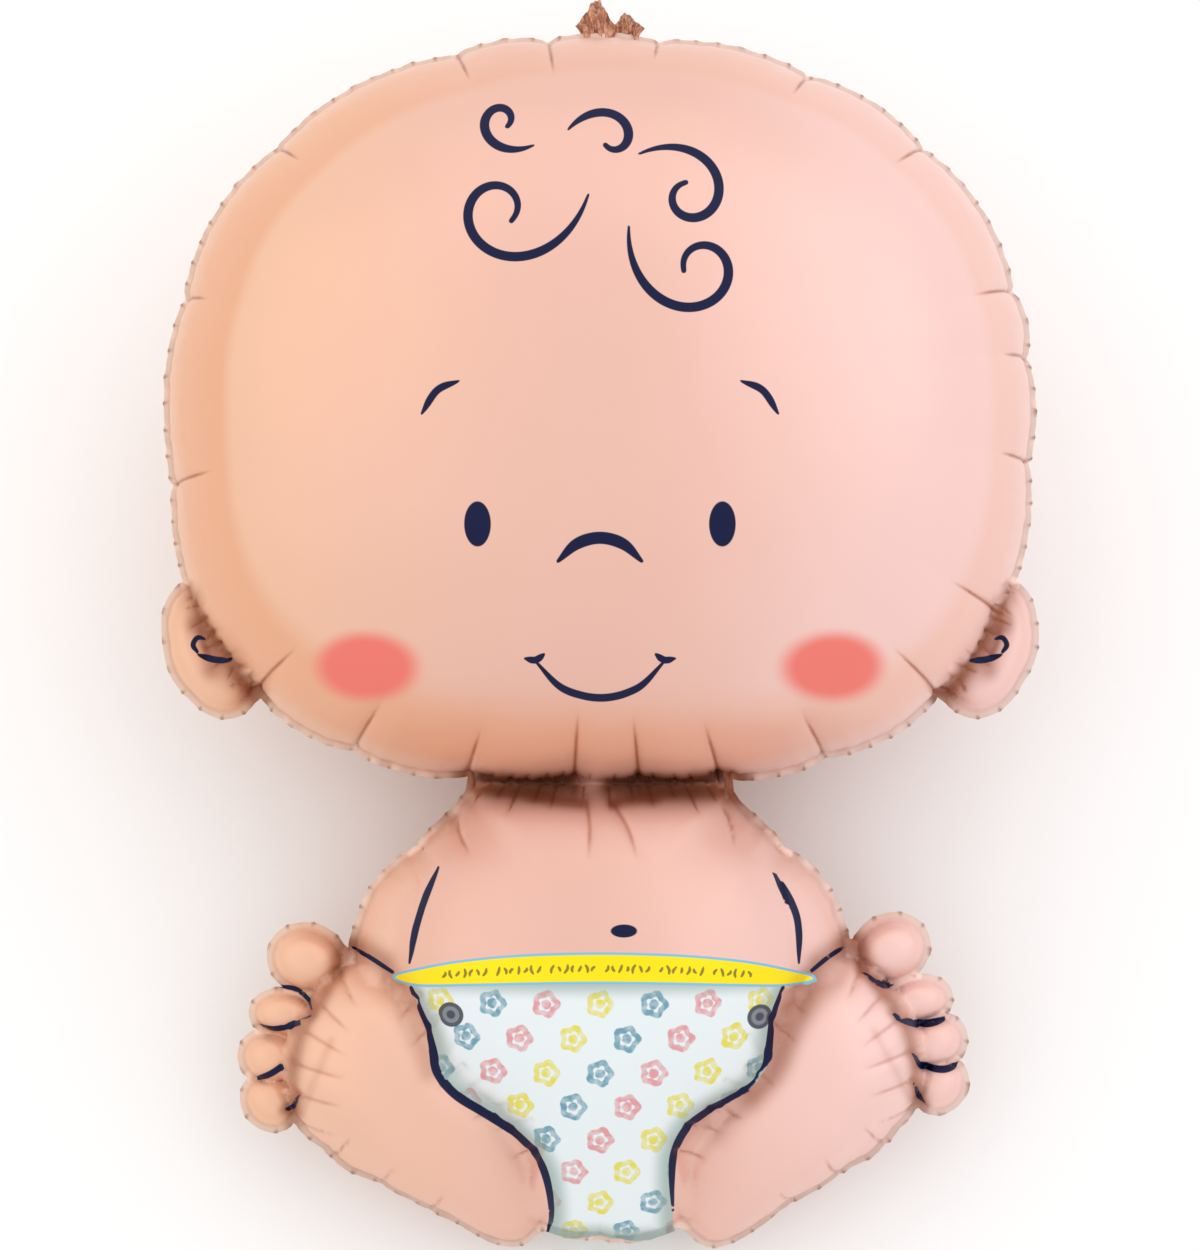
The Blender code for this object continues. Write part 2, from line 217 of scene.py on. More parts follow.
@dataclass
class Spot:
    """A filled ellipse: its middle, half sizes across and up, and its lean from upright in degrees."""

    middle: Array
    half_across: float
    half_up: float
    lean_deg: float = 0.0

    def share(self, points: Array) -> Array:
        """How far out each point lies as a share of the ellipse's own radius in that direction."""
        lean = math.radians(self.lean_deg)
        d = points - self.middle
        across = d[:, 0] * math.cos(lean) - d[:, 1] * math.sin(lean)
        up = d[:, 0] * math.sin(lean) + d[:, 1] * math.cos(lean)
        return np.hypot(across / self.half_across, up / self.half_up)

    def field(self, points: Array) -> Array:
        """Distance from the spot's edge, negative inside: the share past one, times the smaller half size."""
        return (self.share(points) - 1) * min(self.half_across, self.half_up)


@dataclass
class Haze:
    """Brown along a path, print shading and painted shade in one: strongest on it, and fading as a bell curve
    of the distance.
    """

    path: Array
    reach: float
    strength: float

    def amount(self, points: Array) -> Array:
        """Share of the brown at each point."""
        away, _ = nearest_on_path(points, self.path)
        return self.strength * np.exp(-((away / self.reach) ** 2))


@dataclass
class Crease:
    """A fold pulled into the film along a path, deepest at its start and gone at its end.

    The brown in its bottom is painted shade, narrower than the fold, faint at the very start and gone before
    the end.
    """

    path: Array
    depth: float
    half_width: float
    tint: float = 0.6
    fading: float = 0.8
    tint_width: float = 0.52
    tint_rise: float = 9.0
    tint_fall: float = 2.6
    tint_least: float = 0.25

    def pull(self, points: Array) -> Array:
        """How far the crease draws the film in: its depth, fading along it, times a bell curve across it."""
        away, t = nearest_on_path(points, self.path)
        return self.depth * (1 - t) ** self.fading * np.exp(-((away / self.half_width) ** 2))

    def shade(self, points: Array) -> Array:
        """Share of brown painted shade in the crease's bottom: a narrow bell curve across, rising and falling
        along it.
        """
        away, t = nearest_on_path(points, self.path)
        line = np.exp(-((away / (self.tint_width * self.half_width)) ** 2))
        start = np.clip(t * self.tint_rise, self.tint_least, 1)
        end = np.clip((1 - t) * self.tint_fall, 0, 1)
        return self.tint * line * end * start


def spread(shapes: list, points: Array, reach: float, method: str, empty: float, join: np.ufunc) -> Array:
    """Join what several drawn shapes give, each worked out only for the points near it.

    Args:
        shapes: strokes, spots, hazes or creases.
        points: n by 2, in u and v.
        reach: how far from a shape its values matter.
        method: name of the shapes' method that gives the values.
        empty: value where no shape is near.
        join: array function that joins two values.

    Returns:
        One value for each point.
    """
    out = np.full(len(points), empty)
    for shape in shapes:
        if isinstance(shape, Spot):
            half = max(shape.half_across, shape.half_up)
            low, high = shape.middle - half, shape.middle + half
        else:
            low, high = shape.path.min(axis=0), shape.path.max(axis=0)
        near = np.all((points > low - reach) & (points < high + reach), axis=1)
        if near.any():
            out[near] = join(out[near], getattr(shape, method)(points[near]))
    return out


# The puffed lobes


@dataclass
class Lobe:
    """One puffed region of the balloon: a closed rim in the u, v plane, its middle, and its swell."""

    rim: Array
    middle: Array
    half_depth: float
    tucks_deg: tuple[float, ...] = ()
    tuck_depth: float = 0.0
    narrowing: float = 0.0
    dish: float = 0.0
    seam_width: float = 0.005
    waves: int = 2
    tuck_reach: float = 0.42
    dish_reach: float = 0.45

    def __post_init__(self) -> None:
        """Work out the reach of rim and seam in even directions, the rounded reach, and the arc length."""
        along = np.roll(self.rim, -1, axis=0) - np.roll(self.rim, 1, axis=0)
        outward = np.column_stack([along[:, 1], -along[:, 0]])
        outward /= np.linalg.norm(outward, axis=1)[:, None]
        self.seam = self.rim + outward * self.seam_width
        self.turn = np.linspace(0, 2 * math.pi, RIM_STEPS, endpoint=False)
        self.reach = self.polar(self.rim)
        self.seam_reach = self.polar(self.seam)
        spectrum = np.fft.rfft(self.reach)
        spectrum[self.waves + 1:] = 0
        self.rounded = np.fft.irfft(spectrum, len(self.turn))
        ring = self.middle + self.reach[:, None] * np.column_stack([np.cos(self.turn), np.sin(self.turn)])
        steps = np.linalg.norm(np.roll(ring, -1, axis=0) - ring, axis=1)
        self.arc = np.concatenate([[0], np.cumsum(steps)[:-1]])
        self.girth = float(steps.sum())
        rise = self.rim[:, 1] - self.middle[1]
        self.above, self.below = float(rise.max()), float(-rise.min())

    def polar(self, loop: Array) -> Array:
        """Distance from the middle to a loop in even directions."""
        offset = loop - self.middle
        angle = np.arctan2(offset[:, 1], offset[:, 0]) % (2 * math.pi)
        order = np.argsort(angle)
        return np.interp(self.turn, angle[order], np.linalg.norm(offset, axis=1)[order], period=2 * math.pi)

    def at_direction(self, table: Array, angle: Array) -> Array:
        """Read a table of even directions at any angle."""
        return np.interp(angle, self.turn, table, period=2 * math.pi)

    def polar_of(self, points: Array) -> tuple[Array, Array, Array]:
        """Angle and distance of points from the middle, and the rim's reach in their direction."""
        offset = points - self.middle
        angle = np.arctan2(offset[:, 1], offset[:, 0]) % (2 * math.pi)
        return angle, np.linalg.norm(offset, axis=1), self.at_direction(self.reach, angle)

    def share(self, points: Array) -> Array:
        """Share of the lobe's radius at each point, where the contours are rounder the further in they lie.

        The share s solves: distance = s (s^2 reach + (1 - s^2) rounded reach), by halving the interval.

        Args:
            points: n by 2, in u and v.

        Returns:
            Share from nought at the middle to one at the rim and beyond.
        """
        angle, distance, reach = self.polar_of(points)
        rounded = self.at_direction(self.rounded, angle)
        low, high = np.zeros(len(points)), np.ones(len(points))
        for _ in range(HALVINGS):
            s = (low + high) / 2
            short = s * (s**2 * reach + (1 - s**2) * rounded) < distance
            low, high = np.where(short, s, low), np.where(short, high, s)
        return np.where(distance >= reach, 1.0, (low + high) / 2)

    def height(self, points: Array) -> Array:
        """Height of the film over the middle plane.

        It is an inflated disc's, times a swell that eases towards both ends, and a hollow if it is dished.

        Args:
            points: n by 2, in u and v.

        Returns:
            Height for each point, nought outside the rim.
        """
        s = self.share(points)
        rise = points[:, 1] - self.middle[1]
        rise = rise / np.where(rise > 0, self.above, self.below)
        swell = 1 - self.narrowing * np.minimum(rise**2, 1)
        hollow = 1 - self.dish * np.exp(-((s / self.dish_reach) ** 2))
        return self.half_depth * mylar_height(s) * swell * hollow

    def pinch(self, points: Array) -> Array:
        """How strongly the tucks draw the film in: one at a tuck, nought halfway to the next, a parabola.

        Args:
            points: n by 2, in u and v.

        Returns:
            Share of the full draw for each point.
        """
        if not self.tucks_deg:
            return np.zeros(len(points))
        angle, _, _ = self.polar_of(points)
        arc = self.at_direction(self.arc, angle)
        marks = np.sort(self.at_direction(self.arc, np.radians(self.tucks_deg) % (2 * math.pi)))
        marks = np.concatenate([[marks[-1] - self.girth], marks, [marks[0] + self.girth]])
        k = np.clip(np.searchsorted(marks, arc, side="right") - 1, 0, len(marks) - 2)
        between = (arc - marks[k]) / (marks[k + 1] - marks[k])
        return (1 - 2 * between) ** 2


def mylar_height(share: Array) -> Array:
    """Height of an inflated disc of film at a share of its radius, as a share of the height at its middle.

    The film's slope at a share t is t^2 / sqrt(1 - t^4). With t = 1 - q^2 the climb inwards from the rim is
    smooth in q, so it is summed over even steps of q.

    Args:
        share: shares of the radius.

    Returns:
        Shares of the full height.
    """
    q = np.linspace(0, 1, PROFILE_STEPS)
    t = 1 - q**2
    rate = np.where(q > 0, t**2 * 2 * q / np.sqrt(np.maximum(1 - t**4, 1e-12)), 1.0)
    climbed = np.concatenate([[0], np.cumsum((rate[1:] + rate[:-1]) / 2)])
    return np.interp(np.sqrt(1 - share), q, climbed / climbed[-1])


def superellipse(middle: Array, half_width: float, rise: float, fall: float, up: float, down: float) -> Array:
    """Closed rim |u/a|^n + |v/b|^n = 1, whose upper and lower halves have their own height b and fullness n.

    Args:
        middle: its middle in u and v.
        half_width: half width a.
        rise: height b above the middle.
        fall: height b below it.
        up: fullness n above.
        down: fullness n below.

    Returns:
        Points of the rim, anticlockwise.
    """
    turn = np.linspace(0, 2 * math.pi, RIM_STEPS, endpoint=False)
    c, s = np.cos(turn), np.sin(turn)
    power = 2 / np.where(s >= 0, up, down)
    u = half_width * np.sign(c) * np.abs(c) ** power
    v = np.where(s >= 0, rise, fall) * np.sign(s) * np.abs(s) ** power
    return np.column_stack([middle[0] + u, middle[1] + v])


def ellipse(middle: Array, half_long: float, half_wide: float, lean_deg: float) -> Array:
    """Closed rim of an ellipse whose long axis leans from upright, to the viewer's right if positive."""
    turn = np.linspace(0, 2 * math.pi, ELLIPSE_STEPS, endpoint=False)
    lean = math.radians(lean_deg)
    along, across = half_long * np.sin(turn), half_wide * np.cos(turn)
    u = middle[0] + across * math.cos(lean) + along * math.sin(lean)
    v = middle[1] - across * math.sin(lean) + along * math.cos(lean)
    return np.column_stack([u, v])


# The figure's parts


@dataclass
class Head:
    """The head: a wide puffed disc with a fuller jaw, its face and its curls of hair."""

    width: float = 0.595
    height: float = 0.514
    depth: float = 0.340
    crown_fullness: float = 2.20
    jaw_fullness: float = 2.75
    chin: float = 0.3205
    tuck_depth: float = 0.0038
    tucks_deg: tuple[float, ...] = (
        7, 16, 39, 58, 81, 98, 112, 141, 165, 190, 219, 234, 250, 266, 276, 288, 303, 320, 333, 353,
    )
    fold_length: float = 0.030
    fold_step: float = 0.005
    chin_fold_extra: float = 0.014
    chin_fold_from: float = -0.3
    fold_depth: float = 0.0018
    fold_half_width: float = 0.0024
    # Strength of the brown painted shade in the folds at the tucks.
    fold_shade_strength: float = 0.95
    line_width: float = 0.0062
    brow_width: float = 0.0048
    nose_width: float = 0.0078
    smile_width: float = 0.0052
    dimple_width: float = 0.0045
    curl_points: int = 97
    curl_root_share: float = 0.55
    curl_tip_share: float = 0.25
    eye_place: tuple[float, float] = (0.079, -0.083)
    eye_half_size: tuple[float, float] = (0.0086, 0.0145)
    cheek_place: tuple[float, float] = (0.154, -0.176)
    cheek_half_size: tuple[float, float] = (0.0305, 0.0200)

    def middle(self) -> Array:
        """The head's middle in u and v."""
        return np.array([0.0, self.chin + self.height / 2])

    def lobe(self) -> Lobe:
        """The head's own lobe."""
        half = self.height / 2
        rim = superellipse(self.middle(), self.width / 2, half, half, self.crown_fullness, self.jaw_fullness)
        return Lobe(rim, self.middle(), self.depth / 2, self.tucks_deg, self.tuck_depth)

    def creases(self) -> list[Crease]:
        """A sharp fold at each tuck, from the seam inwards, in four lengths, longer under the chin."""
        lobe, folds = self.lobe(), []
        for number, turn_deg in enumerate(self.tucks_deg):
            turn = math.radians(turn_deg)
            out = np.array([math.cos(turn), math.sin(turn)])
            rim = lobe.middle + out * float(lobe.at_direction(lobe.seam_reach, np.array([turn]))[0])
            longer = self.chin_fold_extra if out[1] < self.chin_fold_from else 0.0
            inner = rim - out * (self.fold_length + self.fold_step * (number * 3 % 4) + longer)
            ends = np.array([rim, inner])
            folds.append(Crease(ends, self.fold_depth, self.fold_half_width, self.fold_shade_strength))
        return folds

    def line(self, points_mm: list[tuple[float, float]], width: float | None = None) -> Stroke:
        """A drawn line through points given in millimetres from the head's middle."""
        path = smooth_curve(np.array(points_mm) * MM + self.middle(), closed=False)
        return Stroke(path, width or self.line_width)

    def curl(self, tip_mm: tuple[float, float], tip_deg: float, tight_mm: float, slack_mm: float,
             sweep_deg: float) -> Stroke:
        """A curl of hair: its bend eases from tight to slack by the same share with every millimetre.

        Args:
            tip_mm: where its tail ends, from the head's middle as the camera sees it.
            tip_deg: which way the tail points there.
            tight_mm: radius of its bend at the inner end.
            slack_mm: radius of its bend at the tail's end.
            sweep_deg: how far it turns altogether, anticlockwise if positive.

        Returns:
            The curl as a stroke.
        """
        ease = math.log(slack_mm / tight_mm)
        length = math.radians(abs(sweep_deg)) * ease / (1 / tight_mm - 1 / slack_mm)
        t = np.linspace(0, 1, self.curl_points)
        turned = (1 - np.exp(-ease * t)) / (1 - math.exp(-ease)) * math.radians(sweep_deg)
        heading = turned + math.radians(tip_deg - sweep_deg)
        middle = (heading[1:] + heading[:-1]) / 2
        steps = np.column_stack([np.cos(middle), np.sin(middle)]) * length / (len(t) - 1)
        path = np.vstack([[0, 0], np.cumsum(steps, axis=0)])
        path += np.array(tip_mm) - path[-1]
        path = path * MM + self.middle()
        return Stroke(path, self.line_width, self.curl_root_share, self.curl_tip_share)

    def pair(self, place: tuple[float, float], half_size: tuple[float, float]) -> list[Spot]:
        """Two like spots left and right of the head's middle, from how far out and up they lie."""
        return [Spot(self.middle() + np.array([side * place[0], place[1]]), *half_size) for side in (-1, 1)]

    def ink(self) -> list[Stroke | Spot]:
        """The drawn lines of the face."""
        brow = [(115, -12), (105, 3), (91, 9)]
        dimple = [(36, -167), (42, -171), (49, -170)]
        eyes = self.pair(self.eye_place, self.eye_half_size)
        brows = [self.line([(side * u, v) for u, v in brow], self.brow_width) for side in (-1, 1)]
        nose = [self.line([(-27, -107), (-15, -96), (0, -92), (15, -96), (27, -107)], self.nose_width)]
        smile = [self.line([(-42, -172), (-24, -190), (0, -196), (24, -190), (42, -172)], self.smile_width)]
        dimples = [self.line([(side * u, v) for u, v in dimple], self.dimple_width) for side in (-1, 1)]
        return eyes + brows + nose + smile + dimples

    def hair(self) -> list[Stroke]:
        """Five loose curls over the forehead."""
        return [
            self.curl((-8, 150), 72, 12, 84, 395),
            self.curl((-46, 184), 24, 6, 38, 350),
            self.curl((-22, 195), 228, 7, 46, 285),
            self.curl((27, 178), 205, 10, 58, 380),
            self.curl((20, 128), 86, 12, 74, -385),
        ]

    def cheeks(self) -> list[Spot]:
        """The two blushed cheeks."""
        return self.pair(self.cheek_place, self.cheek_half_size)

    def haze(self) -> list[Haze]:
        """Brown under the chin in two stretches with a gap between them: airbrushed print shading and painted
        shadow.
        """
        def under(points_mm: list[tuple[float, float]]) -> Array:
            return np.array(points_mm) * MM + (0.0, self.chin)

        return [
            Haze(under([(-94, 1), (-60, -1), (-18, 0)]), 0.0066, 0.88),
            Haze(under([(6, -1), (50, -1), (98, 1)]), 0.0064, 0.88),
            Haze(under([(-84, 4), (-64, 5), (-30, 3)]), 0.0045, 0.50),
            Haze(under([(34, 3), (62, 5), (92, 4)]), 0.0045, 0.50),
            Haze(under([(-88, -3), (-60, -6), (-38, -8)]), 0.0038, 0.70),
            Haze(under([(-48, -7), (-26, -11), (-13, -12)]), 0.0046, 0.78),
            Haze(under([(9, -12), (20, -10), (38, -8)]), 0.0044, 0.82),
            Haze(under([(34, -7), (58, -6), (88, -7)]), 0.0050, 0.72),
            Haze(under([(86, -5), (95, -12)]), 0.0050, 0.85),
            Haze(under([(-100, -3), (0, -5), (100, -3)]), 0.0170, 0.26),
        ]


@dataclass
class Ear:
    """An ear, dished, centred near the head's rim."""

    side: Side
    length: float = 0.092
    width: float = 0.060
    depth: float = 0.050
    drop_deg: float = 31.5
    lean_deg: float = 19.0
    stand_off: float = 0.004
    dish: float = 0.35
    tuck_depth: float = 0.0015
    tucks_deg: tuple[float, ...] = (30, 102, 174, 246, 318)
    crinkles: int = 9
    crinkle_start: float = 0.06
    crinkle_step: float = 0.105
    crinkle_leans: tuple[float, ...] = (0.35, -0.25, 0.1)
    ear_crinkle: float = 0.009
    head_crinkle: float = 0.004
    crinkle_growth: float = 0.003

    def place(self, head: Head) -> Array:
        """The ear's middle in u and v."""
        middle = head.middle()
        turn = math.radians(-self.drop_deg)
        direction = np.array([self.side.value * math.cos(turn), math.sin(turn)])
        spokes = head.lobe().rim - middle
        facing = spokes @ direction
        reach = facing[np.argmax(facing / np.linalg.norm(spokes, axis=1))]
        return middle + direction * (reach + self.stand_off)

    def lobe(self, head: Head) -> Lobe:
        """The ear's own lobe."""
        place = self.place(head)
        rim = ellipse(place, self.length / 2, self.width / 2, self.side.value * self.lean_deg)
        return Lobe(rim, place, self.depth / 2, self.tucks_deg, self.tuck_depth, dish=self.dish)

    def curve(self, head: Head, points_mm: list[tuple[float, float]]) -> Array:
        """A smooth path through points in millimetres outwards and up from the ear's middle."""
        local = np.array(points_mm) * MM * (self.side.value, 1)
        return smooth_curve(local + self.place(head), closed=False)

    def root(self, head: Head) -> Array:
        """Where the ear meets the head, from the top down."""
        return self.curve(head, [(12, 44), (4, 22), (-8, 0), (-20, -20), (-34, -38)])

    def ink(self, head: Head) -> list[Stroke]:
        """The folds of the ear, short hooked lines."""
        return [Stroke(self.curve(head, [(9, -3), (12, 2), (9, 7), (4, 6)]), 0.0034, 0.6, 0.4),
                Stroke(self.curve(head, [(8, -5), (-2, -8), (-13, -9)]), 0.0046, 0.4, 0.4)]

    def haze(self, head: Head) -> list[Haze]:
        """Brown over the ear near the head, and in its hollow: airbrushed print shading and painted shade."""
        hollow = self.curve(head, [(10, 16), (0, 14), (-4, -2), (0, -16)])
        ridge = self.curve(head, [(9, 34), (7, 20), (6, 6), (2, -4)])
        return [Haze(self.root(head), 0.0130, 0.66), Haze(hollow, 0.008, 0.50), Haze(ridge, 0.0026, 0.60)]

    def root_painted_shade(self, head: Head) -> list[Haze]:
        """Darker brown painted shade in the valley between ear and head, on both of them."""
        root = self.root(head)
        return [Haze(root, 0.0036, 0.75), Haze(root[len(root) // 3:], 0.0052, 0.50)]

    def creases(self, head: Head) -> list[Crease]:
        """Crinkles of the film across the ear's root, longer on the ear than on the head."""
        root, folds = self.root(head), []
        for k in range(self.crinkles):
            start = root[int((self.crinkle_start + self.crinkle_step * k) * (len(root) - 1))]
            out = (start - head.middle()) / np.linalg.norm(start - head.middle())
            lean = np.array([-out[1], out[0]]) * self.crinkle_leans[k % 3]
            on_ear = start + (out + lean) * (self.ear_crinkle + self.crinkle_growth * (k % 3))
            on_head = start - (out - lean) * (self.head_crinkle + self.crinkle_growth * (k % 2))
            folds.append(Crease(np.array([start, on_ear]), 0.0022, 0.0017, 0.9))
            folds.append(Crease(np.array([start, on_head]), 0.0009, 0.0016, 0.5))
        return folds


@dataclass
class Body:
    """Shoulders and arms in one lobe, and neck, belly and seat in another, with the nappy printed on them."""

    arm_span: float = 0.342
    arm_level: float = 0.203
    arm_rise: float = 0.104
    arm_fall: float = 0.050
    arm_depth: float = 0.116
    neck_overlap: float = 0.036
    neck_pinch: float = 0.55
    neck_pinch_reach: float = 0.011
    belly_width: float = 0.284
    belly_level: float = 0.190
    belly_depth: float = 0.176
    seat_shift: float = 0.008
    end_narrowing: float = 0.42
    seam_width: float = 0.005
    arm_fullness: float = 2.0
    tuck_depth: float = 0.003
    arm_tucks_deg: tuple[float, ...] = (8, 35, 62, 90, 118, 145, 172, 215, 270, 325)
    belly_tucks_deg: tuple[float, ...] = (20, 64, 80, 95, 116, 160, 195, 228, 251, 270, 289, 312, 345)
    pin_half_size: tuple[float, float] = (0.0088, 0.0085)
    neck_fold_level_mm: float = 321
    mark_places: int = 46
    mark_group: int = 8
    mark_start_mm: float = -108
    mark_pitch_mm: float = 4.7
    mark_level_mm: float = 191.3
    mark_droop: float = 0.00036
    mark_width: float = 0.0017
    belly_profile: tuple[tuple[float, float], ...] = (
        (0.985, 0.56), (0.87, 0.64), (0.77, 0.87), (0.64, 1.00), (0.50, 1.00), (0.39, 0.93),
        (0.30, 0.78), (0.235, 0.55), (0.15, 0.41), (0.055, 0.38),
    )

    def arms(self) -> Lobe:
        """The lobe of shoulders and arms."""
        middle = np.array([0.0, self.arm_level])
        full = self.arm_fullness
        rim = superellipse(middle, self.arm_span / 2, self.arm_rise, self.arm_fall, full, full)
        return Lobe(rim, middle, self.arm_depth / 2, self.arm_tucks_deg, self.tuck_depth)

    def belly(self, head: Head) -> Lobe:
        """The lobe of neck, belly and seat, whose neck end stays inside the head."""
        height = head.chin + self.neck_overlap
        level, width = np.array(self.belly_profile).T
        v = level * height
        shift = self.seat_shift * np.maximum(0, 1 - v / self.belly_level)
        right = np.column_stack([shift + width * self.belly_width / 2, v])
        left = np.column_stack([shift - width * self.belly_width / 2, v])
        corners = np.vstack([[0.0, height], left, [self.seat_shift, self.seam_width], right[::-1]])
        rim = smooth_curve(corners, closed=True, per_span=40)
        middle = np.array([0.0, self.belly_level])
        return Lobe(rim, middle, self.belly_depth / 2, self.belly_tucks_deg, self.tuck_depth,
                    narrowing=self.end_narrowing)

    def path(self, points_mm: list[tuple[float, float]]) -> Array:
        """A smooth path through points in millimetres of u and v."""
        return smooth_curve(np.array(points_mm) * MM, closed=False)

    def band_loop(self) -> Array:
        """Outline of the waistband, with pinched ends."""
        top = [(-143, 186), (-122, 192), (-92, 197), (-52, 200.5), (0, 201.8), (52, 200.5), (94, 197),
               (124, 192), (150, 185)]
        bottom = [(130, 180), (92, 180), (46, 181), (0, 181.5), (-46, 181), (-92, 180), (-128, 180)]
        return smooth_curve(np.array(top + bottom) * MM, closed=True)

    def nappy_loop(self) -> Array:
        """Outline of the nappy below the band."""
        left = [(-136, 190), (-127, 165), (-117, 142), (-113, 120), (-100, 104), (-79, 91), (-57, 76),
                (-43, 60), (-36, 42), (-34, 20), (-37, 4)]
        right = [(52, 2), (51, 20), (50, 46), (52, 66), (63, 84), (84, 97), (106, 110), (117, 128),
                 (119, 150), (124, 168), (133, 190)]
        return np.vstack([self.path(left), self.path(right)])

    def ink(self) -> list[Stroke | Spot]:
        """Drawn lines of the arms, the navel, the creases beside the band, and the nappy's edges."""
        arms = [
            Stroke(self.path([(-112, 262), (-126, 230), (-132, 195)]), 0.0052),
            Stroke(self.path([(120, 260), (137, 227), (138, 195)]), 0.0052),
        ]
        creases = [
            Stroke(self.path([(-177, 208), (-160, 199), (-144, 189)]), 0.0034, 0.1, 0.8),
            Stroke(self.path([(174, 208), (160, 200), (147, 190)]), 0.0034, 0.1, 0.8),
        ]
        left = [(-131, 178), (-122, 154), (-116, 136), (-113, 120), (-100, 104), (-79, 91), (-57, 76),
                (-43, 60), (-36, 42), (-33.5, 20), (-37, 8)]
        right = [(127, 178), (121, 160), (118, 140), (115, 124), (106, 110), (84, 97), (63, 84), (52, 66),
                 (50, 46), (51, 22)]
        edges = [Stroke(self.path(left), 0.0060, 0.5, 0.4), Stroke(self.path(right), 0.0060, 0.5, 0.3)]
        navel = [Spot(np.array([0.0166, 0.2174]), 0.0088, 0.0043)]
        return arms + creases + edges + navel

    def pins(self) -> list[Spot]:
        """Heads of the two pins that hold the nappy."""
        places = ((-0.1035, 0.1595), (0.111, 0.158))
        return [Spot(np.array(place), *self.pin_half_size) for place in places]

    def haze(self) -> list[Haze]:
        """Brown print shading and painted shade at the neck, the arms' outer edges and where the arms go
        behind the feet.
        """
        return [
            Haze(self.path([(-101, 318), (-108, 300), (-128, 284)]), 0.008, 0.45),
            Haze(self.path([(96, 318), (104, 302), (122, 286)]), 0.008, 0.45),
            Haze(self.path([(-176, 212), (-150, 196)]), 0.011, 0.60),
            Haze(self.path([(176, 212), (152, 196)]), 0.011, 0.60),
            Haze(self.path([(-140, 180), (-127, 150), (-119, 120)]), 0.010, 0.40),
            Haze(self.path([(142, 180), (130, 150), (122, 124), (104, 104)]), 0.011, 0.55),
        ]

    def creases(self) -> list[Crease]:
        """Folds of the film at the neck, fanning down from under the chin, with a short one up from each."""
        folds, level = [], self.neck_fold_level_mm
        for k, u in enumerate((-93, -80, -66, -55, -41, -30, -11, 6, 21, 33, 48, 59, 74, 90)):
            lean = 0.22 * u
            length = (12, 17, 11, 22, 14, 18, 13, 20)[k % 8]
            down = [(u, level), (u + lean * length / 30, level - length)]
            up = [(u + 4, level + 1), (u + 4 - lean / 4, level + 8)]
            folds.append(Crease(np.array(down) * MM, 0.0022, 0.0019, 0.9))
            folds.append(Crease(np.array(up) * MM, 0.0014, 0.0017, 0.8))
        long_folds = ([(-10, 314), (-7, 294), (-8, 268)], [(7, 312), (19, 292), (26, 268)],
                      [(85, 308), (90, 294), (92, 276)], [(-101, 298), (-95, 284), (-86, 272)])
        return folds + [Crease(self.path(points), 0.0022, 0.0034, 0.62) for points in long_folds]

    def marks(self) -> list[Stroke]:
        """A row of short strokes along the band, each leaning its own way, in groups with gaps."""
        strokes = []
        for k in range(self.mark_places):
            if k % self.mark_group == self.mark_group - 1:
                continue
            u = self.mark_start_mm + self.mark_pitch_mm * k
            base = self.mark_level_mm - self.mark_droop * u**2
            tall = (3.4, 5.0, 2.8, 5.6, 4.0)[k % 5]
            lean = (0.9, -0.7, 1.1, 0.2)[k % 4]
            bend = (0.9, -0.8, 0.3)[k % 3]
            corners = [(u - lean, base - tall / 2), (u + bend, base), (u + lean, base + tall / 2)]
            strokes.append(Stroke(self.path(corners), self.mark_width, 0.6, 0.6))
        return strokes


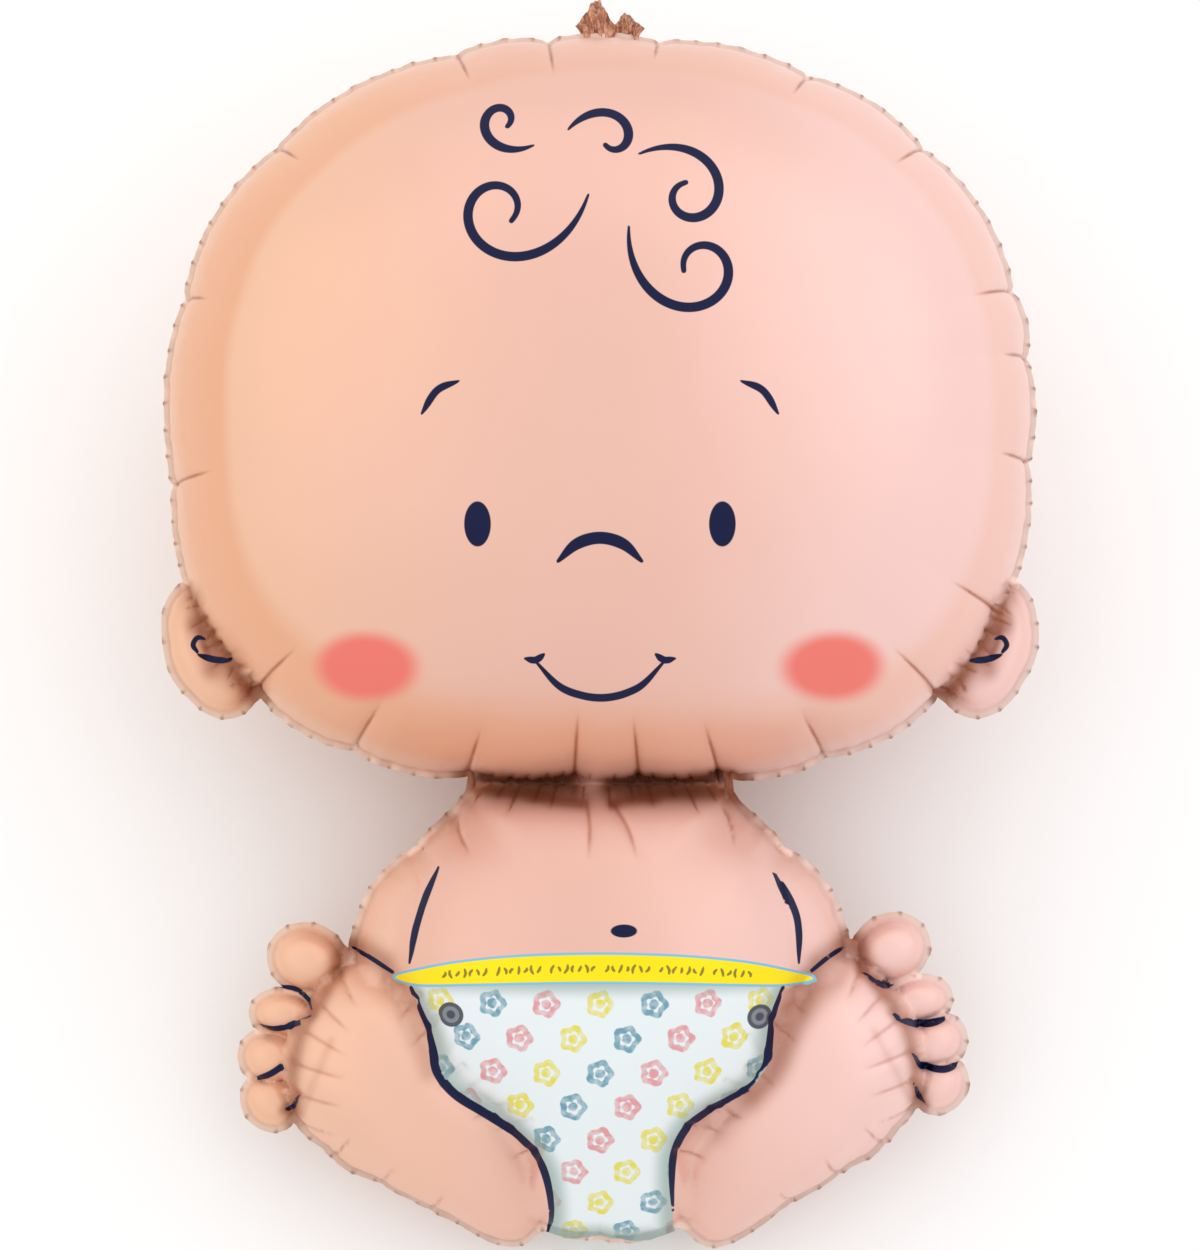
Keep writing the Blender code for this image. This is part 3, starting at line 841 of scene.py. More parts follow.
@dataclass
class Foot:
    """A foot seen from its sole: the sole and four toes, placed by its heel and the sole's outward lean."""

    side: Side
    length: float
    heel_offset: float
    lean_deg: float
    depth: float = 0.108
    heel_height: float = 0.0385
    toe_plumpness: float = 0.95
    tuck_depth: float = 0.003
    tucks_deg: tuple[float, ...] = (15, 55, 95, 135, 175, 215, 255, 295, 335)
    sole_middle: tuple[float, float] = (0.5, 0.02)
    outline: tuple[tuple[float, float], ...] = (
        (-0.20, 0.00), (-0.13, 0.12), (0.19, 0.226), (0.40, 0.310), (0.62, 0.345), (0.82, 0.29),
        (0.95, 0.14), (0.99, -0.02), (0.97, -0.18), (0.84, -0.31), (0.58, -0.31), (0.42, -0.25),
        (0.22, -0.25), (0.04, -0.27), (-0.12, -0.19),
    )
    toes: tuple[tuple[float, float, float, float, float], ...] = (
        (1.085, -0.090, 0.126, 0.108, 26),
        (1.000, 0.110, 0.106, 0.072, 41),
        (0.920, 0.258, 0.098, 0.084, 24),
        (0.805, 0.368, 0.094, 0.082, 0),
    )

    def at(self, along: Array | float, out: Array | float) -> Array:
        """The u, v place at shares of the foot's length along the sole and out to its outer side."""
        lean, side = math.radians(self.lean_deg), self.side.value
        heel = np.array([side * self.heel_offset, self.heel_height])
        forward = np.array([side * math.sin(lean), math.cos(lean)])
        outward = np.array([side * math.cos(lean), -math.sin(lean)])
        return heel + self.length * (np.outer(along, forward) + np.outer(out, outward)).squeeze()

    def sole(self) -> Lobe:
        """The sole's own lobe."""
        along, out = np.array(self.outline).T
        rim = smooth_curve(self.at(along, out), closed=True, per_span=40)
        return Lobe(rim, self.at(*self.sole_middle), self.depth / 2, self.tucks_deg, self.tuck_depth)

    def toe_lobes(self) -> list[Lobe]:
        """The toes, small round puffs on the ball's edge."""
        lobes = []
        for along, out, half_long, half_wide, turn_deg in self.toes:
            middle = self.at(along, out)
            long, wide = half_long * self.length, half_wide * self.length
            rim = ellipse(middle, long, wide, self.side.value * (self.lean_deg + turn_deg))
            lobes.append(Lobe(rim, middle, self.toe_plumpness * min(long, wide)))
        return lobes

    def path(self, shares: list[tuple[float, float]]) -> Array:
        """A smooth path through places given as shares along the sole and out."""
        along, out = np.array(shares).T
        return smooth_curve(self.at(along, out), closed=False)

    def toe_lines(self) -> list[Array]:
        """Paths of the lines between the toes as the camera sees them, from the largest toe outwards."""
        if self.side is Side.LEFT:
            lines = [[(1.100, 0.060), (1.020, 0.010), (0.940, 0.030)],
                     [(1.037, 0.203), (0.986, 0.175), (0.948, 0.108), (0.933, 0.040)],
                     [(0.909, 0.357), (0.879, 0.304), (0.864, 0.215)],
                     [(0.751, 0.360), (0.736, 0.325), (0.761, 0.284)]]
        else:
            lines = [[(0.953, -0.121), (0.959, -0.053), (1.000, 0.004)],
                     [(0.905, 0.061), (0.915, 0.134), (0.966, 0.203), (1.032, 0.239)],
                     [(0.836, 0.223), (0.827, 0.278), (0.860, 0.349), (0.927, 0.383)],
                     [(0.754, 0.296), (0.724, 0.338), (0.712, 0.377)]]
        return [self.path(line) for line in lines]

    def ink(self) -> list[Stroke]:
        """Drawn lines between the toes."""
        widths = (0.0034, 0.0044, 0.0046, 0.0034)
        return [Stroke(path, width, 0.35, 0.25) for path, width in zip(self.toe_lines(), widths)]

    def toe_shade(self) -> list[Haze]:
        """Brown along the drawn lines between the toes: airbrushed print shading and painted shade."""
        return [Haze(path, 0.0038, 0.50) for path in self.toe_lines()]

    def haze(self) -> list[Haze]:
        """Print shading and painted shade at the toes' roots, along the sole's fold and sides, and inside the
        right sole.
        """
        roots = self.path([(1.02, -0.22), (0.96, -0.08), (0.93, 0.06), (0.84, 0.20), (0.74, 0.31),
                           (0.66, 0.40)])
        fold = self.path([(0.70, 0.30), (0.76, 0.16), (0.82, 0.02)])
        inner = self.path([(0.00, -0.28), (0.22, -0.26), (0.42, -0.25), (0.60, -0.30), (0.84, -0.27)])
        outer = self.path([(-0.14, 0.16), (0.20, 0.26), (0.42, 0.33), (0.60, 0.38)])
        hazes = [Haze(roots, 0.0070, 0.66), Haze(fold, 0.0040, 0.30), Haze(inner, 0.007, 0.34),
                 Haze(outer, 0.006, 0.34)]
        if self.side is Side.RIGHT:
            band = self.path([(0.16, -0.18), (0.42, -0.18), (0.64, -0.22), (0.86, -0.20)])
            hazes.append(Haze(band, 0.012, 0.34))
        return hazes

    def creases(self) -> list[Crease]:
        """Short folds of the film along the sole's sides, and longer, softer ones from between the toes."""
        short = (((0.10, 0.26), (0.14, 0.10)), ((0.30, 0.30), (0.34, 0.16)),
                 ((0.50, 0.36), (0.52, 0.20)), ((0.12, -0.30), (0.18, -0.16)),
                 ((0.34, -0.29), (0.36, -0.15)), ((0.52, -0.33), (0.50, -0.19)),
                 ((0.02, -0.26), (0.06, -0.14)), ((0.22, -0.27), (0.27, -0.13)),
                 ((0.43, -0.26), (0.43, -0.12)), ((0.62, -0.31), (0.60, -0.16)),
                 ((0.72, -0.32), (0.70, -0.20)))
        soft = (((0.98, -0.15), (0.83, -0.12)), ((0.95, -0.03), (0.78, -0.05)),
                ((0.93, 0.08), (0.72, 0.01)), ((0.86, 0.19), (0.66, 0.06)),
                ((0.78, 0.27), (0.60, 0.14)), ((0.70, 0.36), (0.54, 0.24)))
        folds = [Crease(self.at(*np.array(ends).T), 0.0016, 0.0024, 0.62) for ends in short]
        return folds + [Crease(self.at(*np.array(ends).T), 0.0018, 0.0032, 0.48) for ends in soft]


# The film


@dataclass(frozen=True)
class PaintedRimShade:
    """Painted shade and reflection: a darker tan in a ring inside the head's rim, and thin inside the other
    rims.

    The ring is wider and stronger to the left and below, and weaker at the very rim.
    """

    reach: float = 0.038
    reach_left: float = 0.014
    reach_below: float = 0.022
    blur: float = 0.013
    blur_below: float = 0.045
    strength: float = 0.30
    more_to_a_side: float = 0.20
    at_rim: float = 0.35
    rim_reach: float = 0.022
    thin_strength: float = 0.26
    thin_inset: float = 0.006
    thin_reach: float = 0.007

    def head_share(self, direction: Array, inset: Array) -> Array:
        """Share of the tan on the head, from the direction out of its middle and the way in from its rim."""
        left, below = np.clip(-direction[:, 0], 0, 1), np.clip(-direction[:, 1], 0, 1) ** 2
        edge = self.reach + self.reach_left * left + self.reach_below * below
        ring = np.clip((edge - inset) / (self.blur + self.blur_below * below) + 0.5, 0, 1)
        strength = self.strength + self.more_to_a_side * left + self.more_to_a_side * below
        ring = ring * ring * (3 - 2 * ring) * strength
        return ring * np.clip(self.at_rim + inset / self.rim_reach, 0, 1)

    def thin_share(self, inset: Array) -> Array:
        """Share of the tan inside the other rims, as a bell curve of how far inside the rim it is."""
        return self.thin_strength * np.exp(-((inset - self.thin_inset) / self.thin_reach) ** 2)


@dataclass(frozen=True)
class FilmMesh:
    """A flat triangulation of the figure's outline: points in u and v, triangles, and its border's edges."""

    points: Array
    triangles: Array
    border: Array


@dataclass
class FoilSkin:
    """The whole printed film of the balloon, front and back, welded along a thin seam."""

    head: Head = field(default_factory=Head)
    body: Body = field(default_factory=Body)
    ears: tuple[Ear, ...] = (Ear(Side.LEFT), Ear(Side.RIGHT))
    feet: tuple[Foot, ...] = (Foot(Side.LEFT, 0.189, 0.072, 44.0), Foot(Side.RIGHT, 0.185, 0.088, 39.0))
    tilt_deg: float = 13.6982
    origin: tuple[float, float, float] = (0.000037, 0.417334, -0.044424)
    root_shade_rise: float = 0.046
    # Height over the middle plane by which the painted shade at the ear roots fades.
    neck_valley_reach: float = 0.0022
    view_distance: float = 2.404
    view_v: float = 0.4293
    seam_width: float = 0.005
    seam_root: float = 0.0024
    seam_edge: float = 0.0012
    rim_step: float = 0.0030
    coarse_step: float = 0.0036
    middle_step: float = 0.0024
    fine_step: float = 0.0015
    mark_step: float = 0.0009
    back_step: float = 0.0062
    insets: tuple[float, ...] = (0.0004, 0.0014, 0.0030, 0.0052, 0.0080, 0.0114, 0.0150)
    inset_limit: float = 0.55
    ring_margin: float = 0.002
    front_cell: float = 0.00085
    back_cell: float = 0.0010
    sight_rounds: int = 5
    smoothing_rounds: int = 8
    mark_zone: float = 0.0016
    fine_zone: float = 0.0026
    middle_zone: float = 0.008
    fold_zone: float = 0.0004
    pull_reach: float = 0.012
    shade_reach: float = 0.010
    print_reach: float = 0.03
    trunk_power: int = 6
    toe_power: int = 9
    head_power: int = 16
    pucker_depth: float = 0.0011
    pucker_reach: float = 0.013
    pucker_periods: tuple[float, ...] = (0.0021, 0.0033, 0.0058)
    back_shift: float = 1.3
    full_girth: float = 0.9
    wave_reach: float = 0.0025
    seam_waves: tuple[tuple[float, float, float], ...] = ((0.0008, 0.0026, 0.0), (0.0006, 0.0061, 1.0))
    tooth_length: float = 0.0008
    tooth_period: float = 0.0026
    tooth_drift: float = 1.5
    drift_period: float = 0.031
    # The ring of painted shade and reflection inside the rims.
    tan: PaintedRimShade = PaintedRimShade()

    def __post_init__(self) -> None:
        """Collect the lobes, everything drawn on them and the painted shade in their folds and valleys."""
        self.head_lobe = self.head.lobe()
        self.ear_lobes = [ear.lobe(self.head) for ear in self.ears]
        soles = [foot.sole() for foot in self.feet]
        self.trunk_lobes = [self.body.arms(), self.body.belly(self.head), *soles]
        self.toe_lobes = [toe for foot in self.feet for toe in foot.toe_lobes()]
        self.lobes = [self.head_lobe, *self.ear_lobes, *self.trunk_lobes, *self.toe_lobes]
        self.ink = self.head.ink() + self.laid(self.head.hair() + self.body.ink())
        self.haze = self.head.haze() + self.laid(self.body.haze())
        self.ear_haze = [haze for ear in self.ears for haze in ear.haze(self.head)]
        self.creases = self.head.creases() + self.body.creases()
        self.marks, self.pins = self.laid(self.body.marks()), self.laid(self.body.pins())
        self.band, self.nappy = self.met(self.body.band_loop()), self.met(self.body.nappy_loop())
        # Painted shade in the valleys between ears and head.
        self.root_painted_shade = [haze for ear in self.ears for haze in ear.root_painted_shade(self.head)]
        for ear in self.ears:
            self.ink += ear.ink(self.head)
            self.creases += ear.creases(self.head)
        for foot in self.feet:
            self.ink += self.laid(foot.ink())
            self.haze += foot.haze() + self.laid(foot.toe_shade())
            self.creases += foot.creases()

    def met(self, seen: Array) -> Array:
        """Find where sight lines meet the film.

        Each place moves towards the aim by the film's height there over the camera's distance, a few times.

        Args:
            seen: places on the middle plane as the camera sees them, n by 2.

        Returns:
            The same places on the film, in u and v.
        """
        aim = np.array([0.0, self.view_v])
        flat = seen.copy()
        for _ in range(self.sight_rounds):
            flat = aim + (seen - aim) * (1 - self.height(flat)[:, None] / self.view_distance)
        return flat

    def laid(self, shapes: list) -> list:
        """Lay shapes on the film from where the camera sees them, and even out the kinks at its valleys."""
        for shape in shapes:
            if isinstance(shape, Spot):
                shape.middle = self.met(shape.middle[None])[0]
            else:
                shape.path = self.met(shape.path)
                for _ in range(self.smoothing_rounds):
                    shape.path[1:-1] = (shape.path[:-2] + 2 * shape.path[1:-1] + shape.path[2:]) / 4
        return shapes

    def within(self, points: Array, table: str, skip: int = -1, margin: float = 0.0) -> Array:
        """Whether points lie in any lobe's rim or seam.

        Args:
            points: n by 2, in u and v.
            table: reach or seam_reach.
            skip: number of a lobe that is left out.
            margin: how far inside its edge a point still counts as outside.

        Returns:
            One truth value for each point.
        """
        found = np.zeros(len(points), bool)
        for number, lobe in enumerate(self.lobes):
            if number != skip:
                angle, distance, _ = lobe.polar_of(points)
                found |= distance < lobe.at_direction(getattr(lobe, table), angle) - margin
        return found

    def chains(self) -> tuple[Array, Array]:
        """Rims and seam edges where no other lobe covers them, as points and as edges between them.

        Returns:
            Points, n by 2, and pairs of their numbers.
        """
        points, edges, count = [], [], 0
        for number, lobe in enumerate(self.lobes):
            steps = max(24, int(lobe.girth / self.rim_step))
            turn = np.interp(np.arange(steps) / steps * lobe.girth, lobe.arc, lobe.turn)
            out = np.column_stack([np.cos(turn), np.sin(turn)])
            for table in ("reach", "seam_reach"):
                loop = lobe.middle + out * lobe.at_direction(getattr(lobe, table), turn)[:, None]
                free = ~self.within(loop, table, skip=number)
                joined = free | np.roll(free, -1)
                here = np.arange(steps)[joined]
                points.append(loop)
                edges.append(count + np.column_stack([here, (here + 1) % steps]))
                count += steps
        return np.vstack(points), np.vstack(edges)

    def rings(self, every: int = 1) -> Array:
        """Points along each free rim at a few distances inside it, closer together towards the rim.

        Args:
            every: take only each nth point along the rim.

        Returns:
            Points, n by 2.
        """
        found = []
        for number, lobe in enumerate(self.lobes):
            steps = max(24, int(lobe.girth / self.rim_step / every))
            for layer, inset in enumerate(self.insets):
                arc = (np.arange(steps) + 0.5 * (layer % 2)) / steps * lobe.girth
                turn = np.interp(arc, lobe.arc, lobe.turn)
                reach = lobe.at_direction(lobe.reach, turn)
                if inset > self.inset_limit * reach.min():
                    continue
                out = np.column_stack([np.cos(turn), np.sin(turn)])
                loop = lobe.middle + out * (reach - inset)[:, None]
                found.append(loop[~self.within(loop, "reach", skip=number, margin=self.ring_margin)])
        return np.vstack(found)

    def lattice(self, step: float) -> Array:
        """A triangular lattice over the figure, rows set off by half a step."""
        low = np.min([lobe.seam.min(axis=0) for lobe in self.lobes], axis=0)
        high = np.max([lobe.seam.max(axis=0) for lobe in self.lobes], axis=0)
        rows = np.arange(low[1], high[1], step * math.sqrt(0.75))
        line = np.arange(low[0], high[0], step)
        u, v = np.meshgrid(line, rows)
        u = u + 0.5 * step * (np.arange(len(rows)) % 2)[:, None]
        return np.column_stack([u.ravel(), v.ravel()])

    def inner_points(self, points: Array) -> Array:
        """Whether points lie further inside the free rims than the rings of points do."""
        found = np.zeros(len(points), bool)
        for lobe in self.lobes:
            _, distance, reach = lobe.polar_of(points)
            last = min(self.insets[-1], self.inset_limit * lobe.reach.min())
            found |= distance < reach - last - 0.4 * self.rim_step
        return found

    def puffed(self, points: Array) -> Array:
        """Height of each lobe at each point, with the trunk drawn in at the chin by a bell curve of level."""
        heights = np.array([lobe.height(points) for lobe in self.lobes])
        level = (points[:, 1] - self.head.chin) / self.body.neck_pinch_reach
        first = 1 + len(self.ears)
        heights[first:first + len(self.trunk_lobes)] *= 1 - self.body.neck_pinch * np.exp(-level**2)
        return heights

    def valley(self, points: Array) -> Array:
        """Difference in height between the two highest lobes at each point, small along a valley."""
        heights = np.sort(self.puffed(points), axis=0)
        return np.where(heights[-2] > 0.001, heights[-1] - heights[-2], 1.0)

    def neck_valley(self, points: Array) -> Array:
        """How near points are to the valley under the chin, as a bell curve of the way to the head's rim.

        Args:
            points: n by 2, in u and v.

        Returns:
            Share from one in the valley to nought away from it and beside the neck.
        """
        _, distance, reach = self.head_lobe.polar_of(points)
        away = (reach - distance - 0.6 * MM) / self.neck_valley_reach
        trunk = np.max([lobe.height(points) for lobe in self.trunk_lobes], axis=0)
        return np.exp(-away**2) * np.clip(trunk / (8 * MM) - 1, 0, 1)

    def front_points(self) -> Array:
        """Lattice points for the front, finer near drawn lines, folds, valleys and the marks of the band."""
        coarse = self.lattice(self.coarse_step)
        middle = self.lattice(self.middle_step)
        fine = self.lattice(self.fine_step)
        marks = self.lattice(self.mark_step)
        drawn = self.ink + self.pins
        near_mark = spread(self.marks, marks, 0.004, "field", 1.0, np.minimum)
        near_line = np.minimum(spread(drawn, fine, 0.014, "field", 1.0, np.minimum),
                               spread(self.edge_strokes(), fine, 0.014, "field", 1.0, np.minimum))
        deep = spread(self.creases, fine, self.pull_reach, "pull", 0.0, np.maximum)
        folded = (deep > self.fold_zone) | (self.neck_valley(fine) > 0.02)
        round_line = spread(drawn, middle, 0.02, "field", 1.0, np.minimum)
        picks = [
            marks[near_mark < self.mark_zone],
            fine[(near_line < self.fine_zone) | folded],
            middle[(round_line < self.middle_zone) | (self.valley(middle) < 0.006)],
            coarse,
        ]
        return np.vstack([p[self.inner_points(p)] if k else p for k, p in enumerate(picks)])

    def edge_strokes(self) -> list[Stroke]:
        """The outlines of band and nappy as strokes, so that the mesh is fine along them."""
        return [Stroke(np.vstack([self.band, self.band[:1]]), 0.001), Stroke(self.nappy, 0.001)]

    def fold_points(self) -> Array:
        """Rows of points along the tucks of the head's rim, where the rings are too coarse for them."""
        rows = []
        for crease in self.head.creases():
            start, end = crease.path
            run = (end - start) / np.linalg.norm(end - start)
            side = np.array([-run[1], run[0]])
            along = np.arange(0.0065, np.linalg.norm(end - start) + 0.002, 0.0024)
            across = np.array([-3.6, -2.2, -1.1, 0, 1.1, 2.2, 3.6]) * MM
            grid = start + along[:, None, None] * run + across[None, :, None] * side
            rows.append(grid.reshape(-1, 2))
        return np.vstack(rows)

    def triangulate(self, points: Array, cell: float) -> FilmMesh:
        """Triangulate the figure's outline with its rims as fixed edges.

        Args:
            points: wanted points inside, the more important ones first.
            cell: side of the square cells that hold one point each.

        Returns:
            The flat mesh.
        """
        chain, edges = self.chains()
        cells = np.round(np.vstack([chain, points]) / cell).astype(np.int64)
        _, first = np.unique(cells, axis=0, return_index=True)
        extra = points[np.sort(first[first >= len(chain)]) - len(chain)]
        every = np.vstack([chain, extra])
        result = delaunay_2d_cdt([Vector(p) for p in every], edges.tolist(), [], 0, 1e-6)
        flat = np.array([p[:] for p in result[0]])
        tris = np.array([t for t in result[2] if len(t) == 3])
        a, b, c = (flat[tris[:, k]] for k in range(3))
        area = (b[:, 0] - a[:, 0]) * (c[:, 1] - a[:, 1]) - (b[:, 1] - a[:, 1]) * (c[:, 0] - a[:, 0])
        tris = np.where((area > 0)[:, None], tris, tris[:, ::-1])
        tris = tris[self.within((a + b + c) / 3, "seam_reach") & (np.abs(area) > 1e-12)]
        used, renumbered = np.unique(tris, return_inverse=True)
        flat, tris = flat[used], renumbered.reshape(-1, 3)
        pairs = np.vstack([tris[:, [0, 1]], tris[:, [1, 2]], tris[:, [2, 0]]])
        _, index, count = np.unique(np.sort(pairs, axis=1), axis=0, return_inverse=True, return_counts=True)
        return FilmMesh(flat, tris, pairs[count[index.reshape(-1)] == 1])

    def top_lobe(self, points: Array) -> Array:
        """Number of the lobe that rules at each point: the highest, or outside all rims the nearest."""
        depth = self.puffed(points)
        for number, lobe in enumerate(self.lobes):
            _, distance, reach = lobe.polar_of(points)
            depth[number] = np.where(distance < reach, depth[number], reach - distance)
        return np.argmax(depth, axis=0)

    def height(self, points: Array) -> Array:
        """Height of the film: soft valleys inside the trunk, sharper ones at toes, ears and neck.

        A soft valley is the root of the sum of powers of the heights that meet there.

        Args:
            points: n by 2, in u and v.

        Returns:
            Height over the middle plane.
        """
        def joined(heights: Array, power: float) -> Array:
            return np.sum(heights**power, axis=0) ** (1 / power)

        heights = self.puffed(points)
        first = 1 + len(self.ears)
        last = first + len(self.trunk_lobes)
        trunk = joined(heights[first:last], self.trunk_power)
        trunk = joined(np.vstack([trunk[None], heights[last:]]), self.toe_power)
        return joined(np.vstack([trunk[None], heights[:first]]), self.head_power)

    def solid_points(self, flat: Array, film: Film) -> tuple[Array, Array, Array]:
        """Place flat points on the puffed film, with its tucks, puckers, folds and the waves of its seam.

        The tucks draw the film in along its own normal: mostly inwards at the rim, mostly down further in.

        Args:
            flat: n by 2, in u and v.
            film: front or back.

        Returns:
            Points in figure axes, n by 3, how far inside its lobe's rim each lies, and the seam's teeth.
        """
        height, top = self.height(flat), self.top_lobe(flat)
        place, inset, teeth = flat.copy(), np.zeros(len(flat)), np.zeros(len(flat))
        wave, pull = np.zeros(len(flat)), np.zeros(len(flat))
        steepness, outward = np.zeros(len(flat)), np.zeros_like(flat)
        for number, lobe in enumerate(self.lobes):
            mine = top == number
            if not mine.any():
                continue
            p = flat[mine]
            angle, distance, reach = lobe.polar_of(p)
            s = lobe.share(p)
            inset[mine] = reach - distance
            outward[mine] = (p - lobe.middle) / np.maximum(distance, 1e-9)[:, None]
            slope = s**2 / np.sqrt(np.maximum(1 - s**4, 1e-4))
            steepness[mine] = slope * lobe.half_depth / (MYLAR_RATIO * reach)
            fade = np.maximum(0, 1 - (1 - s) / lobe.tuck_reach) ** 2
            arc = lobe.at_direction(lobe.arc, angle)
            ripple = self.puckers(arc, film)
            teeth[mine] = self.seam_teeth(arc) * np.clip((distance - reach) / self.seam_width, 0, 1)
            depth = np.exp(-np.maximum(reach - distance, 0) / self.pucker_reach)
            small = min(1.0, lobe.girth / self.full_girth)
            pull[mine] = lobe.tuck_depth * lobe.pinch(p) * fade + self.pucker_depth * small * ripple * depth
            calm = np.exp(-np.maximum(reach - distance, 0) / self.wave_reach)
            wave[mine] = self.seam_wave(arc) * calm * small
        pull += spread(self.creases, flat, self.pull_reach, "pull", 0.0, np.maximum)
        lift = 1 / np.sqrt(1 + steepness**2)
        place -= outward * (pull * steepness * lift - self.tooth_length * teeth)[:, None]
        out = np.maximum(-inset, 0) / self.seam_width
        least = (self.seam_root + (self.seam_edge - self.seam_root) * np.clip(out, 0, 1)) / 2
        body = np.where(inset > 0, height - pull * lift, 0)
        w = film.value * np.maximum(body, least) + wave
        return np.column_stack([place, w]), inset, teeth

    def seam_teeth(self, arc: Array) -> Array:
        """Teeth that the sealing bar leaves along the seam's edge: the peaks of a wave of the arc length."""
        drift = self.tooth_drift * np.sin(arc / self.drift_period)
        return np.clip(2.2 * np.cos(arc / self.tooth_period + drift) - 1.2, 0, 1)

    def puckers(self, arc: Array, film: Film) -> Array:
        """Small radial puckers along a rim: three waves of the arc length whose periods don't fit."""
        shift = 0.0 if film is Film.FRONT else self.back_shift
        first, second, third = self.pucker_periods
        waves = np.sin(arc / first + shift) + np.sin(arc / second + 2 * shift) + np.sin(arc / third)
        return 0.5 + waves / 6

    def seam_wave(self, arc: Array) -> Array:
        """Rise and fall of the seam out of its plane along the rim, as two waves of the arc length."""
        return sum(rise * np.sin(arc / period + shift) for rise, period, shift in self.seam_waves)

    def to_row(self, figure: Array) -> Array:
        """Turn points from figure axes to row axes, and press what is under the floor flat onto it."""
        tilt = math.radians(self.tilt_deg)
        axes = np.array([(1, 0, 0), (0, math.cos(tilt), math.sin(tilt)),
                         (0, -math.sin(tilt), math.cos(tilt))])
        row = figure @ axes - np.array(self.origin)
        row[:, 2] = np.maximum(row[:, 2], 0)
        return row

    def print_fields(self, flat: Array, inset: Array, teeth: Array, film: Film) -> dict[str, Array]:
        """Everything that the print and the painted shade need to know at each point, in millimetres or as a
        share.

        Args:
            flat: n by 2, in u and v.
            inset: how far inside its lobe's rim each point lies, in metres.
            teeth: the seam's teeth at each point, as shares.
            film: front or back.

        Returns:
            Attribute name, with one value for each point.
        """
        far = self.print_reach
        fields = {}
        for name, loop in (("band", self.band), ("nappy", self.nappy)):
            away = spread([Stroke(np.vstack([loop, loop[:1]]), 0.0)], flat, far, "field", far, np.minimum)
            fields[name] = np.where(inside_loop(flat, loop), -away, away) / MM
        front = film is Film.FRONT
        shapes = {"ink": self.ink, "pins": self.pins, "marks": self.marks}
        for name, drawn in shapes.items():
            value = spread(drawn if front else [], flat, far, "field", far, np.minimum)
            fields[name] = np.minimum(value, far) / MM
        top = self.top_lobe(flat)
        on_ear = (top > 0) & (top <= len(self.ears))
        # Brown painted shade in the bottoms of the creases.
        fields["fold"] = spread(self.creases, flat, self.shade_reach, "shade", 0.0, np.maximum)
        # The brown hazes: airbrushed print shading together with painted shade; at the ear roots it is
        # painted shade that deepens where the film lies low.
        clear = np.ones(len(flat))
        low = np.exp(-((self.height(flat) / self.root_shade_rise) ** 2))
        for hazes, share in ((self.haze, 1.0), (self.ear_haze, on_ear), (self.root_painted_shade, low)):
            for haze in hazes:
                clear *= 1 - spread([haze], flat, 3 * haze.reach, "amount", 0.0, np.maximum) * share
        fields["airbrush_and_painted_shade"] = 1 - clear
        # Painted shade along the valley under the chin, weaker at the gap in the middle.
        beside_gap = np.clip(np.abs(flat[:, 0] + 0.006) / 0.010 - 0.6, 0.35, 1)
        fields["valley"] = self.neck_valley(flat) * beside_gap
        blush = np.ones(len(flat)) * 9
        for cheek in self.head.cheeks() if front else []:
            blush = np.minimum(blush, cheek.share(flat))
        fields["cheek"] = np.minimum(blush, 3)
        # A darker tan ring of painted shade and reflection inside the rims.
        fields["rim"] = self.rim_shade_share(flat, inset)
        fields["seam"] = np.clip(-inset / self.seam_width, 0, 1)
        # The seam's teeth, also where painted shade goes in their crimps.
        fields["teeth"] = teeth
        return fields

    def rim_shade_share(self, flat: Array, inset: Array) -> Array:
        """Share at each point of the darker tan of painted shade and reflection: a wide ring on the head, a
        thin one on the other lobes.
        """
        offset = flat - self.head.middle()
        direction = offset / np.maximum(np.linalg.norm(offset, axis=1), 1e-6)[:, None]
        ring, thin = self.tan.head_share(direction, inset), self.tan.thin_share(inset)
        return np.where(self.top_lobe(flat) == 0, ring, thin)

    def build(self, material: bpy.types.Material) -> bpy.types.Object:
        """Build the closed film and dress it.

        Args:
            material: the printed film.

        Returns:
            The finished object.
        """
        rings = self.rings()
        fine = np.vstack([self.fold_points(), rings, self.front_points()])
        front = self.triangulate(fine, self.front_cell)
        coarse = self.lattice(self.back_step)
        plain = coarse[self.inner_points(coarse)]
        plain = np.vstack([self.fold_points(), self.rings(every=2), plain])
        back = self.triangulate(plain, self.back_cell)
        count = len(front.points)
        placed, fields = [], []
        for mesh, film in ((front, Film.FRONT), (back, Film.BACK)):
            points, inset, teeth = self.solid_points(mesh.points, film)
            placed.append(points)
            fields.append(self.print_fields(mesh.points, inset, teeth, film))
        partner = self.partners(front, back)
        wall = np.column_stack([front.border[:, 1], front.border[:, 0], partner[front.border[:, 0]] + count,
                                partner[front.border[:, 1]] + count])
        walls = np.vstack([wall[:, [0, 1, 2]], wall[:, [0, 2, 3]]])
        faces = np.vstack([front.triangles, back.triangles[:, ::-1] + count, walls])
        skin = make_mesh("balloon_foil", self.to_row(np.vstack(placed)), faces, material)
        for name in fields[0]:
            values = np.concatenate([f[name] for f in fields]).astype(np.float32)
            skin.data.attributes.new(name, "FLOAT", "POINT").data.foreach_set("value", values)
        LOG.info("film: %d points, %d triangles", len(skin.data.vertices), len(skin.data.polygons))
        return skin

    def partners(self, front: FilmMesh, back: FilmMesh) -> Array:
        """For each point on the front film's border, the number of the back film's point in its place."""
        found = np.full(len(front.points), -1)
        here, there = np.unique(front.border), np.unique(back.border)
        gap = np.linalg.norm(front.points[here][:, None] - back.points[there][None], axis=2)
        nearest = gap.argmin(axis=1)
        if gap[np.arange(len(here)), nearest].max() > 1e-6 or len(here) != len(there):
            LOG.warning("seam: %d and %d border points", len(here), len(there))
        found[here] = there[nearest]
        return found


